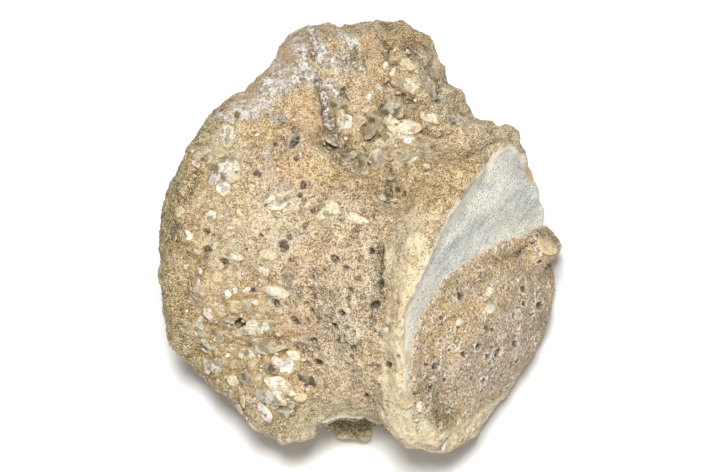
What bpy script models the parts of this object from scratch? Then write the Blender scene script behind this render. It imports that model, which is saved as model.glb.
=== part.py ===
"""Fossil mosasaur vertebra, one block of bone, hardened sand and marl, lying on its side.

The block is modelled in a specimen frame, in millimetres: X runs from the ball end of the centrum to its
cup end, Y runs towards the stump of the neural arch, and Z comes out of the side that lies uppermost. At
the end the block is leant back into its resting pose, cut flat underneath and brought into metres, with
the origin at the middle of its footprint.
"""

import math
from dataclasses import dataclass

import bmesh
import bpy
import numpy as np
from mathutils import Matrix, Vector, noise

PART_NAME = "vertebra"
COLLECTION_NAME = "mosasaur_vertebra"
CUTTER_COLLECTION_NAME = "cutters"

MM = 0.001

# Driving dimensions, in millimetres.
CUP_RADIUS = 31.0
CUP_CENTRE = Vector((23.4, -10.6, 7.0))
CUP_NORMAL = Vector((0.843, -0.26, 0.47)).normalized()
CENTRUM_AXIS = Vector((0.93, -0.28, 0.24)).normalized()
RIM_TO_RIM = 46.0
CONDYLE_RADIUS = 29.5
CONDYLE_HEIGHT = 14.5
WAIST_RADIUS = 26.5
RIM_WIDTH = 4.0
CUP_FILL_DEPTH = 2.0

LEAN_BACK_DEGREES = 20.0
UNDERSIDE_CUT = 5.0
UNDERSIDE_BOX = 200.0

VOXEL = 0.9
FACE_BUDGET = 9800


@dataclass(frozen=True)
class Blob:
    """An ellipsoid of bone or sediment that grows out of the centrum."""

    name: str
    centre: tuple
    radii: tuple
    turn_degrees: float = 0.0


@dataclass(frozen=True)
class Stroke:
    """A groove (negative height) or ridge (positive height) along a path on the upper side."""

    path: tuple
    width: float
    height: float


@dataclass(frozen=True)
class Dab:
    """A round pit (negative height) or bump (positive height) on the upper side."""

    centre: tuple
    radius: float
    height: float


@dataclass(frozen=True)
class Hollow:
    """A shallow hollow anywhere in the skin."""

    centre: tuple
    radius: float
    depth: float


BLOBS = (
    Blob("arch_root_left", (-8.5, 24.0, -1.0), (15.0, 16.0, 17.0), 8.0),
    Blob("arch_root_right", (9.0, 24.0, 1.0), (13.5, 16.0, 16.0), -10.0),
    Blob("arch_spur", (20.5, 15.0, 6.0), (12.5, 8.5, 12.0), -28.0),
    Blob("foot", (-16.0, -29.0, 1.0), (11.0, 12.0, 15.0), 20.0),
    Blob("keel", (-1.0, -20.5, 4.0), (23.0, 15.0, 15.0), 0.0),
    Blob("far_foot", (-1.5, -29.5, -11.0), (10.5, 10.0, 8.0), 0.0),
)

# The outline seen from above, as angle in degrees and distance from the middle in millimetres.
OUTLINE = (
    (0, 37.9), (4, 35.6), (15, 34.8), (25, 34.6), (35, 35.0), (40, 32.8), (46, 30.9), (54, 32.6),
    (60, 33.7), (65, 35.9), (70, 39.6), (80, 41.3), (87, 40.6), (95, 39.9), (105, 41.2), (110, 40.6),
    (115, 38.6), (120, 36.4), (130, 35.2), (140, 36.2), (155, 36.7), (170, 37.8), (185, 38.5),
    (195, 39.3), (210, 42.0), (220, 41.1), (230, 40.5), (240, 42.1), (250, 42.4), (256, 39.5),
    (262, 38.6), (268, 39.8), (275, 37.8), (282, 41.5), (290, 44.6), (300, 44.1), (310, 41.9),
    (325, 40.1), (340, 39.4), (350, 37.8), (356, 38.6),
)

STROKES = (
    Stroke(((-26.0, 19.0), (-31.5, 8.0), (-33.0, -8.0), (-31.0, -25.0)), 2.6, -1.8),
    Stroke(((-7.0, 31.0), (-5.2, 24.0), (-4.2, 17.0), (1.5, 13.0)), 2.4, -2.8),
    Stroke(((5.2, 10.0), (4.5, 1.0), (3.2, -9.0), (3.0, -19.0), (3.4, -26.0)), 3.2, -2.6),
    Stroke(((18.5, 17.6), (24.7, 14.6)), 1.3, -0.9),
    Stroke(((9.0, 24.0), (14.0, 19.0), (19.5, 15.5)), 2.2, -1.2),
    Stroke(((27.0, 18.0), (20.0, 9.5), (12.8, -1.5), (8.6, -14.0), (7.0, -28.0)), 2.4, 1.0),
    Stroke(((-17.0, 13.0), (-10.0, 17.0), (-9.0, 24.0)), 2.4, 1.0),
    Stroke(((-24.0, 24.0), (-13.0, 27.0), (-11.0, 32.0)), 2.6, 1.0),
    Stroke(((31.5, -3.6), (24.3, -6.2), (17.4, -11.6), (12.0, -18.6), (10.0, -28.0)), 1.8, 0.9),
)

DABS = (
    Dab((5.6, 9.0), 3.4, -3.2),
    Dab((-1.5, 15.5), 3.4, -2.2),
    Dab((-14.6, -2.3), 2.2, -0.9),
    Dab((-15.9, 14.5), 2.4, -1.0),
    Dab((-5.2, 22.8), 2.6, -1.2),
    Dab((-26.5, 13.5), 3.4, 1.1),
    Dab((-25.5, 19.0), 3.0, 1.0),
    Dab((2.6, 13.8), 2.2, 0.9),
    Dab((9.3, 13.8), 2.0, 0.7),
    Dab((-7.0, 4.6), 2.0, 0.6),
    Dab((-19.0, -18.0), 2.4, 0.8),
    Dab((-18.0, -21.0), 2.4, 0.8),
    Dab((-15.5, -28.5), 3.4, 1.4),
    Dab((-11.5, -31.5), 3.0, -1.0),
    Dab((-28.0, -24.5), 2.8, 1.0),
    Dab((16.5, -29.5), 3.0, -1.2),
    Dab((18.0, 26.0), 3.4, 1.2),
    Dab((1.0, 34.0), 3.2, -1.2),
    Dab((7.0, 33.0), 3.2, 1.1),
    Dab((-12.0, 35.0), 3.0, 0.9),
)

# The marl wedge between the cup's rim and the lump, and the fold along its middle.
MARL_EDGE = (
    (26.6, 16.4), (29.8, 13.3), (32.5, 8.4), (35.5, 1.4), (31.9, -1.4), (24.3, -4.6),
    (16.7, -10.4), (11.4, -17.6), (9.0, -28.0), (6.9, -22.0), (7.6, -14.1), (12.4, -3.0), (19.8, 8.2),
)
MARL_FOLD = ((11.0, -16.3), (17.5, -8.0), (23.0, -2.0), (29.8, 3.6))
MARL_RIM = ((26.6, 16.4), (19.8, 8.2), (12.4, -3.0), (7.6, -14.1), (6.9, -22.0))
MARL_STEP = 1.0
MARL_SLOPE = 0.24
MARL_FOLD_DEPTH = 2.4
MARL_FOLD_WIDTH = 6.0

# The lump in the cup, in the plane of the cup: along its straight upper edge, across it, and outwards.
LUMP_OFFSET = (0.0, 12.5, -3.5)
LUMP_RADII = (27.0, 18.0, 9.0)
LUMP_EDGE_DIRECTION = (0.55, -0.82)
KNOB = Blob("knob", (34.6, -3.4, -8.0), (4.0, 4.0, 6.0))

# The hollow under the arch between the two feet.
ARCH_CUT = Blob("arch_cut", (-2.6, -45.2, 17.0), (9.2, 11.4, 23.0))

# Hollows on the other sides: the two filled mouths of the neural canal and breaks in the lower side.
HOLLOWS = (
    Hollow((-22.0, 29.0, -4.0), 5.0, 3.0),
    Hollow((24.0, 27.0, 0.0), 5.0, 3.0),
    Hollow((-14.0, 2.0, -32.0), 8.0, 2.0),
    Hollow((10.0, -20.0, -26.0), 7.0, 2.2),
    Hollow((4.0, 24.0, -18.0), 6.0, 2.0),
    Hollow((0.0, 41.0, -4.0), 6.0, 1.8),
)


def smoothstep(low, high, values):
    """Return 0 below low, 1 above high and a smooth rise between them."""
    t = np.clip((values - low) / (high - low), 0.0, 1.0)
    return t * t * (3.0 - 2.0 * t)


def vertex_array(mesh, attribute="co"):
    """Return the mesh's vertex positions or normals as an N by 3 array."""
    values = np.empty(len(mesh.vertices) * 3, dtype=np.float32)
    mesh.vertices.foreach_get(attribute, values)
    return values.reshape(-1, 3).astype(float)


def write_vertices(mesh, positions):
    """Move the mesh's vertices to the given positions."""
    mesh.vertices.foreach_set("co", positions.astype(np.float32).ravel())
    mesh.update()


def new_collection(name):
    """Return a new collection linked to the scene."""
    collection = bpy.data.collections.new(name)
    bpy.context.scene.collection.children.link(collection)
    return collection


def new_object(name, mesh, collection):
    """Return a new object that shows the mesh, linked to the collection."""
    shape = bpy.data.objects.new(name, mesh)
    collection.objects.link(shape)
    return shape


def evaluated_mesh(shape):
    """Return a new mesh of the object with its modifiers applied."""
    bpy.context.view_layer.update()
    evaluated = shape.evaluated_get(bpy.context.evaluated_depsgraph_get())
    return bpy.data.meshes.new_from_object(evaluated)


def settle_modifiers(shape):
    """Apply the object's modifiers to its mesh."""
    settled = evaluated_mesh(shape)
    stale = shape.data
    shape.modifiers.clear()
    shape.data = settled
    bpy.data.meshes.remove(stale)


def cup_frame():
    """Return the cup's plane as unit vectors: up along its long way seen from above, across, and out."""
    up = Vector((0.0, 0.0, 1.0)).cross(CUP_NORMAL).normalized()
    across = CUP_NORMAL.cross(up)
    return up, across, CUP_NORMAL


def frame_matrix(x_axis, y_axis, z_axis, origin):
    """Return the matrix whose columns are the three axes and the origin."""
    columns = Matrix((x_axis, y_axis, z_axis)).transposed()
    return Matrix.Translation(origin) @ columns.to_4x4()


def centrum_profile():
    """Return the centrum's half section, from the middle of the cup's floor to the tip of the ball."""
    points = [(0.0, -CUP_FILL_DEPTH), (CUP_RADIUS - RIM_WIDTH, -CUP_FILL_DEPTH * 0.8)]
    for step in range(7):
        angle = math.pi * step / 6
        points.append((
            CUP_RADIUS - RIM_WIDTH * 0.5 - RIM_WIDTH * 0.5 * math.cos(angle),
            RIM_WIDTH * 0.35 * math.sin(angle) - RIM_WIDTH * 0.2 * (step / 6),
        ))
    for step in range(1, 12):
        t = step / 12
        straight = CUP_RADIUS + (CONDYLE_RADIUS - CUP_RADIUS) * t
        waist = (straight - WAIST_RADIUS) * math.sin(math.pi * t) ** 1.3
        points.append((straight - waist, -RIM_TO_RIM * t - RIM_WIDTH * 0.2))
    for step in range(13):
        angle = 0.5 * math.pi * step / 12
        points.append((
            CONDYLE_RADIUS * math.cos(angle),
            -RIM_TO_RIM - RIM_WIDTH * 0.2 - CONDYLE_HEIGHT * math.sin(angle),
        ))
    points[-1] = (0.0, points[-1][1])
    return points


def turned_centrum(collection):
    """Return the centrum turned about its axis and slanted so that its rims lie in the cup's plane."""
    mesh = bpy.data.meshes.new("centrum")
    profile = bmesh.new()
    corners = [profile.verts.new((radius, 0.0, height)) for radius, height in centrum_profile()]
    for first, second in zip(corners, corners[1:]):
        profile.edges.new((first, second))
    profile.to_mesh(mesh)
    profile.free()
    centrum = new_object("centrum", mesh, collection)
    screw = centrum.modifiers.new("Turn", "SCREW")
    screw.axis = "Z"
    screw.angle = math.tau
    screw.steps = 72
    screw.render_steps = 72
    screw.use_merge_vertices = True
    screw.merge_threshold = 0.0001
    settle_modifiers(centrum)
    up, across, _ = cup_frame()
    centrum.data.transform(frame_matrix(up, across, CENTRUM_AXIS, CUP_CENTRE))
    return centrum


def ellipsoid_mesh(name, matrix):
    """Return a unit ball placed and stretched by the matrix."""
    mesh = bpy.data.meshes.new(name)
    ball = bmesh.new()
    bmesh.ops.create_icosphere(ball, subdivisions=4, radius=1.0, matrix=matrix)
    ball.to_mesh(mesh)
    ball.free()
    return mesh


def blob_matrix(blob):
    """Return the matrix that makes a unit ball into the blob."""
    turn = Matrix.Rotation(math.radians(blob.turn_degrees), 4, "Z")
    return Matrix.Translation(blob.centre) @ turn @ Matrix.Diagonal((*blob.radii, 1.0))


def lump_matrix():
    """Return the matrix that makes a unit ball into the lump in the cup."""
    up, across, out = cup_frame()
    along = (up * LUMP_EDGE_DIRECTION[0] + across * LUMP_EDGE_DIRECTION[1]).normalized()
    beside = along.cross(out)
    if beside.dot(up) > 0.0:
        beside = -beside
    offset = along * LUMP_OFFSET[0] + beside * LUMP_OFFSET[1] + out * LUMP_OFFSET[2]
    placed = frame_matrix(along, out.cross(along), out, CUP_CENTRE + offset)
    return placed @ Matrix.Diagonal((*LUMP_RADII, 1.0))


def joined_shapes(collection):
    """Return one object that holds the centrum, the blobs and the lump as overlapping bodies."""
    block = turned_centrum(collection)
    joined = bmesh.new()
    joined.from_mesh(block.data)
    bmesh.ops.recalc_face_normals(joined, faces=joined.faces)
    bodies = [ellipsoid_mesh(blob.name, blob_matrix(blob)) for blob in (*BLOBS, KNOB)]
    bodies.append(ellipsoid_mesh("lump", lump_matrix()))
    for body in bodies:
        joined.from_mesh(body)
        bpy.data.meshes.remove(body)
    joined.to_mesh(block.data)
    joined.free()
    return block


def remesh(shape, voxel, smooth_steps):
    """Fuse the object's bodies into one skin and soften it."""
    fuse = shape.modifiers.new("Fuse", "REMESH")
    fuse.mode = "VOXEL"
    fuse.voxel_size = voxel
    soften = shape.modifiers.new("Soften", "SMOOTH")
    soften.factor = 0.5
    soften.iterations = smooth_steps
    settle_modifiers(shape)


def outline_radius(angles):
    """Return the outline's distance from the middle at each angle in radians."""
    knots = np.array([angle for angle, _ in OUTLINE], dtype=float)
    radii = np.array([radius for _, radius in OUTLINE], dtype=float)
    degrees = np.degrees(angles) % 360.0
    return np.interp(degrees, knots, radii, period=360.0)


def fit_outline(mesh, passes=3, bins=120):
    """Stretch the block sideways until its outline from above is the outline given."""
    for _ in range(passes):
        points = vertex_array(mesh)
        angles = np.arctan2(points[:, 1], points[:, 0])
        reach = np.hypot(points[:, 0], points[:, 1])
        slots = ((angles + math.pi) / math.tau * bins).astype(int) % bins
        widest = np.zeros(bins)
        np.maximum.at(widest, slots, reach)
        centres = (np.arange(bins) + 0.5) / bins * math.tau - math.pi
        own = np.interp(angles, centres, widest, period=math.tau)
        ratio = outline_radius(angles) / own
        weight = smoothstep(0.35, 1.0, reach / own)
        points[:, :2] *= (1.0 + (ratio - 1.0) * weight)[:, None]
        write_vertices(mesh, points)


def distance_to_path(points, path):
    """Return each point's distance, seen from above, to a path of straight pieces."""
    nearest = np.full(len(points), np.inf)
    for start, end in zip(path, path[1:]):
        start = np.array(start)
        along = np.array(end) - start
        t = np.clip((points[:, :2] - start) @ along / (along @ along), 0.0, 1.0)
        gap = points[:, :2] - start - t[:, None] * along
        nearest = np.minimum(nearest, np.hypot(gap[:, 0], gap[:, 1]))
    return nearest


def inside_outline(points, outline):
    """Return which points lie, seen from above, inside a closed outline."""
    inside = np.zeros(len(points), dtype=bool)
    x, y = points[:, 0], points[:, 1]
    for (x0, y0), (x1, y1) in zip(outline, outline[1:] + outline[:1]):
        if y0 == y1:
            continue
        crosses = (y0 > y) != (y1 > y)
        inside ^= crosses & (x < x0 + (y - y0) * (x1 - x0) / (y1 - y0))
    return inside


def press_marl(mesh):
    """Flatten the marl wedge to two planes that meet in a shallow fold."""
    points = vertex_array(mesh)
    normals = vertex_array(mesh, "normal")
    out = np.array(CUP_NORMAL)
    height = (points - np.array(CUP_CENTRE)) @ out
    edge_gap = distance_to_path(points, MARL_EDGE + MARL_EDGE[:1])
    inside = inside_outline(points, MARL_EDGE) & (normals @ out > 0.0)
    fold = 1.0 - np.clip(distance_to_path(points, MARL_FOLD) / MARL_FOLD_WIDTH, 0.0, 1.0)
    slope = MARL_SLOPE * distance_to_path(points, MARL_RIM)
    wanted = slope - MARL_STEP - MARL_FOLD_DEPTH * fold
    weight = np.where(inside, smoothstep(0.0, 1.5, edge_gap), 0.0)
    points += ((wanted - height) * weight)[:, None] * out
    write_vertices(mesh, points)


def sculpt(mesh):
    """Raise and sink the ridges, grooves, pits and bumps of the upper side."""
    points = vertex_array(mesh)
    normals = vertex_array(mesh, "normal")
    facing = smoothstep(0.0, 0.4, normals[:, 2])
    lift = np.zeros(len(points))
    for stroke in STROKES:
        lift += stroke.height * np.exp(-(distance_to_path(points, stroke.path) / stroke.width) ** 2)
    for dab in DABS:
        gap = np.hypot(points[:, 0] - dab.centre[0], points[:, 1] - dab.centre[1])
        lift += dab.height * np.exp(-(gap / dab.radius) ** 2)
    points += (lift * facing)[:, None] * normals
    write_vertices(mesh, points)


def hollow_out(mesh):
    """Sink the hollows of the sides that lie away from the upper side."""
    points = vertex_array(mesh)
    normals = vertex_array(mesh, "normal")
    for hollow in HOLLOWS:
        gap = np.linalg.norm(points - np.array(hollow.centre), axis=1)
        sink = hollow.depth * np.exp(-(gap / hollow.radius) ** 2)
        points -= sink[:, None] * normals
    write_vertices(mesh, points)


def roughen(mesh):
    """Give the bone its broken, lumpy skin, and leave the marl smooth."""
    points = vertex_array(mesh)
    normals = vertex_array(mesh, "normal")
    marl = inside_outline(points, MARL_EDGE) & (normals @ np.array(CUP_NORMAL) > 0.0)
    lift = np.empty(len(points))
    for index, point in enumerate(points):
        broad = noise.noise(Vector(point) / 11.0)
        lumpy = noise.noise(Vector(point) / 4.6 + Vector((31.0, 7.0, 2.0)))
        grainy = noise.noise(Vector(point) / 2.3 + Vector((5.0, 17.0, 42.0)))
        lift[index] = 0.9 * broad + 0.95 * lumpy + 0.45 * grainy
    lift[marl] *= 0.12
    points += lift[:, None] * normals
    write_vertices(mesh, points)


def cut_away(block, cutter):
    """Take the cutter's body away from the block."""
    cutter.hide_render = True
    cutter.display_type = "WIRE"
    cut = block.modifiers.new("Cut", "BOOLEAN")
    cut.operation = "DIFFERENCE"
    cut.solver = "EXACT"
    cut.object = cutter
    settle_modifiers(block)


def cut_arch(block, collection):
    """Cut the hollow under the arch between the two feet."""
    mesh = ellipsoid_mesh(ARCH_CUT.name, blob_matrix(ARCH_CUT))
    cut_away(block, new_object(ARCH_CUT.name, mesh, collection))


def rest_on_cut(block, collection):
    """Lean the block back, cut it flat underneath and stand it on the middle of its footprint."""
    block.data.transform(Matrix.Rotation(math.radians(LEAN_BACK_DEGREES), 4, "X"))
    floor = vertex_array(block.data)[:, 2].min() + UNDERSIDE_CUT
    box = bmesh.new()
    below = Matrix.Translation((0.0, 0.0, floor - UNDERSIDE_BOX / 2))
    bmesh.ops.create_cube(box, size=UNDERSIDE_BOX, matrix=below)
    box_mesh = bpy.data.meshes.new("underside_box")
    box.to_mesh(box_mesh)
    box.free()
    cut_away(block, new_object("underside_box", box_mesh, collection))
    points = vertex_array(block.data)
    low, high = points.min(axis=0), points.max(axis=0)
    middle = Vector(((low[0] + high[0]) / 2, (low[1] + high[1]) / 2, floor))
    print("specimen origin in mm:", [round(float(value), 3) for value in -middle])
    block.data.transform(Matrix.Scale(MM, 4) @ Matrix.Translation(-middle))


def bone_material():
    """Return the material of the whole block: dull tan bone with sand cemented to it."""
    material = bpy.data.materials.new("fossil_bone")
    material.use_nodes = True
    shader = material.node_tree.nodes["Principled BSDF"]
    shader.inputs["Base Color"].default_value = (0.58, 0.45, 0.32, 1.0)
    shader.inputs["Roughness"].default_value = 0.85
    shader.inputs["Metallic"].default_value = 0.0
    return material


def reduce_faces(block):
    """Bring the block down to its face budget."""
    thin = block.modifiers.new("Thin", "DECIMATE")
    thin.ratio = FACE_BUDGET / (2.0 * len(block.data.polygons))
    settle_modifiers(block)


def build_vertebra():
    """Build the whole specimen."""
    collection = new_collection(COLLECTION_NAME)
    cutters = new_collection(CUTTER_COLLECTION_NAME)
    block = joined_shapes(collection)
    remesh(block, VOXEL, 6)
    fit_outline(block.data)
    cut_arch(block, cutters)
    remesh(block, VOXEL, 3)
    press_marl(block.data)
    sculpt(block.data)
    hollow_out(block.data)
    roughen(block.data)
    fit_outline(block.data)
    reduce_faces(block)
    rest_on_cut(block, cutters)
    block.name = PART_NAME
    block.data.name = PART_NAME
    block.data.materials.clear()
    block.data.materials.append(bone_material())
    block.data.shade_smooth()
    return block


def main():
    """Empty the scene and build the specimen in it."""
    for shape in list(bpy.data.objects):
        bpy.data.objects.remove(shape, do_unlink=True)
    build_vertebra()


main()
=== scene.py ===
"""The finish of a fossil mosasaur vertebra: mineralised bone, cemented sand, calcite, marl and crust.

Lengths are in millimetres in the specimen's own frame until a mesh is finished: X runs from the ball end
of the centrum to its cup end, Y towards the stump of the neural arch, and Z out of the side that lies
uppermost. SpecimenFrame turns that frame into the resting pose in metres.
"""

import logging
import math
from dataclasses import dataclass, field
from enum import Enum
from typing import Any, Callable, Sequence, TypeVar

import bmesh
import bpy
import numpy as np
from mathutils import Matrix, Vector
from mathutils.bvhtree import BVHTree

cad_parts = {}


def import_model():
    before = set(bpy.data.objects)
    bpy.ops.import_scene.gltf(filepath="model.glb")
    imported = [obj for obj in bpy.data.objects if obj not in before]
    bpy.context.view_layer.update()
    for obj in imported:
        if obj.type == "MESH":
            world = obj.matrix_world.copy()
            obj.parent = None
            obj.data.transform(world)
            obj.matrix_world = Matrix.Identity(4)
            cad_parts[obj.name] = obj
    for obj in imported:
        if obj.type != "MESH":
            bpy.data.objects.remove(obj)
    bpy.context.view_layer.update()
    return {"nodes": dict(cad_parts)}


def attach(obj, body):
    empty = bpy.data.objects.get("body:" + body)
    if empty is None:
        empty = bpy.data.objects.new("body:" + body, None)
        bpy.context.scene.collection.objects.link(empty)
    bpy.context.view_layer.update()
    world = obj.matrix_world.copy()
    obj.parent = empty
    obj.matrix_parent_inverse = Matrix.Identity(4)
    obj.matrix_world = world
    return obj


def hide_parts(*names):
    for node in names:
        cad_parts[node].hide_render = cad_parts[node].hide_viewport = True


LOG = logging.getLogger("vertebra")

MM = 0.001
NODE = "vertebra"
BODY = "root"

Point2 = tuple[float, float]
Path2 = tuple[Point2, ...]
Place3 = tuple[float, float, float]
Stops = tuple[tuple[float, str], ...]
Made = TypeVar("Made")

# Brings the gradient noise to about -1 to 1.
NOISE_SWING = 1.7
# Nothing in a lattice cell lies as far off as this.
OUT_OF_REACH = 81.0


# ---- The specimen's frame ----


@dataclass(frozen=True)
class SpecimenFrame:
    """The pose in which the specimen lies: leant back about X, then lifted onto its flat underside."""

    lean_back_degrees: float = 20.0
    origin: Place3 = (-0.116, 1.505, 26.099)

    def matrix(self) -> Matrix:
        """Return the matrix that takes specimen millimetres to world metres."""
        lean = Matrix.Rotation(math.radians(self.lean_back_degrees), 4, "X")
        return Matrix.Scale(MM, 4) @ Matrix.Translation(self.origin) @ lean

    def outward(self) -> Vector:
        """Return the world direction that the specimen's upper side faces."""
        return (self.matrix().to_3x3() @ Vector((0.0, 0.0, 1.0))).normalized()

    def world(self, point: Sequence[float]) -> Vector:
        """Return the place in world metres of a point in specimen millimetres."""
        return self.matrix() @ Vector(point)


FRAME = SpecimenFrame()


# ---- Patterns in space ----


def smoothstep(low: float, high: float, values: np.ndarray) -> np.ndarray:
    """Return 0 below low, 1 above high and a smooth rise between them."""
    t = np.clip((values - low) / (high - low), 0.0, 1.0)
    return t * t * (3.0 - 2.0 * t)


class SolidNoise:
    """Gradient noise that fills space, the same on every run."""

    def __init__(self, seed: int) -> None:
        """Shuffle the lattice.

        Args:
            seed: picks one of the noises.
        """
        maker = np.random.default_rng(seed)
        self.table = np.tile(maker.permutation(256), 3)
        slopes = maker.normal(size=(256, 3))
        self.slopes = (slopes / np.linalg.norm(slopes, axis=1)[:, None]).T.astype(np.float32)

    def at(self, points: np.ndarray, size: float) -> np.ndarray:
        """Return the noise at some points.

        Args:
            points: N by 3 array in millimetres.
            size: the width of one cell of the lattice in millimetres.

        Returns:
            N values, nearly all between -1 and 1.
        """
        scaled = (points / size).T
        cell = np.floor(scaled)
        inner = (scaled - cell).astype(np.float32)
        low = cell.astype(np.int64) & 255
        fade = inner ** 3 * (inner * (inner * 6.0 - 15.0) + 10.0)
        total = np.zeros(len(points), dtype=np.float32)
        for i in (0, 1):
            first = self.table[low[0] + i] + low[1]
            across = fade[0] if i else 1.0 - fade[0]
            for j in (0, 1):
                second = self.table[first + j] + low[2]
                weight = across * (fade[1] if j else 1.0 - fade[1])
                for k in (0, 1):
                    code = self.table[second + k]
                    rise = self.slopes[0][code] * (inner[0] - i)
                    rise += self.slopes[1][code] * (inner[1] - j)
                    rise += self.slopes[2][code] * (inner[2] - k)
                    total += weight * (fade[2] if k else 1.0 - fade[2]) * rise
        return total * NOISE_SWING

    def octaves(self, points: np.ndarray, size: float, count: int) -> np.ndarray:
        """Add up several sizes of the noise, each half as wide and high as the one before.

        Args:
            points: N by 3 array in millimetres.
            size: the width of the widest cell in millimetres.
            count: how many sizes there are.

        Returns:
            One value for each point.
        """
        total = np.zeros(len(points))
        for octave in range(count):
            total += 0.5 ** octave * self.at(points + 17.0 * octave, size / 2.0 ** octave)
        return total


class PackedGrains(SolidNoise):
    """Space filled with packed grains: each point belongs to the grain whose middle is nearest."""

    def __init__(self, seed: int) -> None:
        """Scatter one grain in each lattice cell.

        Args:
            seed: picks one of the packings.
        """
        super().__init__(seed)
        maker = np.random.default_rng(seed + 1000)
        self.middles = maker.uniform(0.08, 0.92, size=(256, 3)).T.astype(np.float32)
        self.tones = maker.uniform(0.0, 1.0, size=256)

    def at_grains(self, points: np.ndarray, size: float) -> tuple[np.ndarray, np.ndarray, np.ndarray]:
        """Return where some points lie among the grains.

        Args:
            points: N by 3 array in millimetres.
            size: the mean width of a grain in millimetres.

        Returns:
            The distance to the nearest grain's middle and to the next one's, both as a share of the
            grain size, and the nearest grain's tone from 0 to 1.
        """
        scaled = (points / size).T
        cell = np.floor(scaled)
        inner = (scaled - cell).astype(np.float32)
        low = (cell.astype(np.int64) - 1) & 255
        nearest = np.full(len(points), OUT_OF_REACH, dtype=np.float32)
        second = nearest.copy()
        chosen = np.zeros(len(points), dtype=np.int64)
        for i in (0, 1, 2):
            first = self.table[low[0] + i] + low[1]
            for j in (0, 1, 2):
                middle = self.table[first + j] + low[2]
                for k in (0, 1, 2):
                    code = self.table[middle + k]
                    gap = (self.middles[0][code] + (i - 1) - inner[0]) ** 2
                    gap += (self.middles[1][code] + (j - 1) - inner[1]) ** 2
                    gap += (self.middles[2][code] + (k - 1) - inner[2]) ** 2
                    np.minimum(second, np.maximum(gap, nearest), out=second)
                    closer = gap < nearest
                    chosen[closer] = code[closer]
                    np.minimum(nearest, gap, out=nearest)
        return np.sqrt(nearest), np.sqrt(second), self.tones[chosen]


def near_path(points: np.ndarray, path: Path2, reach: float) -> np.ndarray:
    """Tell which points lie, seen from above, in a path's box.

    Args:
        points: N by 3 array in millimetres.
        path: the path's corners.
        reach: how far the box is grown.

    Returns:
        Whether each point lies there.
    """
    corners = np.array(path)
    low, high = corners.min(axis=0) - reach, corners.max(axis=0) + reach
    return np.all((points[:, :2] > low) & (points[:, :2] < high), axis=1)


def distance_to_path(points: np.ndarray, path: Path2, reach: float = 6.0) -> np.ndarray:
    """Measure from points to a path of straight pieces, seen from above.

    Args:
        points: N by 3 array in millimetres.
        path: the path's corners.
        reach: what counts as far away.

    Returns:
        Each point's distance, reach at most.
    """
    close = near_path(points, path, reach)
    x, y = points[close, 0], points[close, 1]
    nearest = np.full(len(x), reach ** 2)
    for (x0, y0), (x1, y1) in zip(path, path[1:]):
        dx, dy = x1 - x0, y1 - y0
        t = np.clip(((x - x0) * dx + (y - y0) * dy) / (dx * dx + dy * dy), 0.0, 1.0)
        nearest = np.minimum(nearest, (x - x0 - t * dx) ** 2 + (y - y0 - t * dy) ** 2)
    distance = np.full(len(points), reach)
    distance[close] = np.sqrt(nearest)
    return distance


def inside_outline(points: np.ndarray, outline: Path2) -> np.ndarray:
    """Tell which points lie, seen from above, inside a closed outline.

    Args:
        points: N by 3 array in millimetres.
        outline: its corners.

    Returns:
        Whether each point lies there.
    """
    close = near_path(points, outline, 0.0)
    x, y = points[close, 0], points[close, 1]
    odd = np.zeros(len(x), dtype=bool)
    for (x0, y0), (x1, y1) in zip(outline, outline[1:] + outline[:1]):
        if y0 == y1:
            continue
        crosses = (y0 > y) != (y1 > y)
        odd ^= crosses & (x < x0 + (y - y0) * (x1 - x0) / (y1 - y0))
    inside = np.zeros(len(points), dtype=bool)
    inside[close] = odd
    return inside


def depth_inside(points: np.ndarray, outline: Path2) -> np.ndarray:
    """Return how far inside a closed outline each point lies, seen from above, negative outside."""
    gap = distance_to_path(points, outline + outline[:1])
    return np.where(inside_outline(points, outline), gap, -gap)


# ---- What lies where on the upper side ----


@dataclass(frozen=True)
class Patch:
    """A soft oval of one kind of surface, seen from above."""

    x: float
    y: float
    half_length: float
    half_width: float
    turn_degrees: float = 0.0
    strength: float = 1.0

    def at(self, points: np.ndarray) -> np.ndarray:
        """Work out how far the patch covers some points.

        Args:
            points: N by 3 array in millimetres.

        Returns:
            One share for each: the patch's strength in its middle, 0 far away.
        """
        turn = math.radians(self.turn_degrees)
        dx = points[:, 0] - self.x
        dy = points[:, 1] - self.y
        along = (dx * math.cos(turn) + dy * math.sin(turn)) / self.half_length
        across = (dy * math.cos(turn) - dx * math.sin(turn)) / self.half_width
        return self.strength * np.exp(-((along ** 2 + across ** 2) ** 1.5))


@dataclass(frozen=True)
class Pore:
    """An open pore: where the bone's spongy inside shows through its skin."""

    x: float
    y: float
    radius: float
    stretch: float = 1.0
    turn_degrees: float = 0.0
    rim: float = 0.0


class GrainKind(Enum):
    """What a cemented grain is made of."""

    CALCITE = "calcite"
    CHALKY = "chalky"
    GREY = "grey"


CALCITE, CHALKY, GREY = GrainKind


@dataclass(frozen=True)
class GrainSpot:
    """One large grain set in the surface at a known place."""

    x: float
    y: float
    half_length: float
    half_width: float
    turn_degrees: float
    kind: GrainKind
    rise: float = 0.0


@dataclass(frozen=True)
class Groove:
    """A broad furrow between broken ridges, with dirty grey-olive sediment in it."""

    path: Path2
    half_width: float
    depth: float


class Zone(Enum):
    """A kind of surface."""

    CRUST = "crust"
    OCHRE = "ochre"
    SALMON = "salmon"
    SPONGE = "sponge"
    OLIVE = "olive"
    UMBER = "umber"
    PALE = "pale"
    CREAM = "cream"
    SANDY = "sandy"
    GREY = "grey"


def rows(kind: Callable[..., Made], *values: tuple[Any, ...]) -> tuple[Made, ...]:
    """Return one thing of a kind for each row of values, which stand in the order of the kind's fields."""
    return tuple(kind(*row) for row in values)


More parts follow.
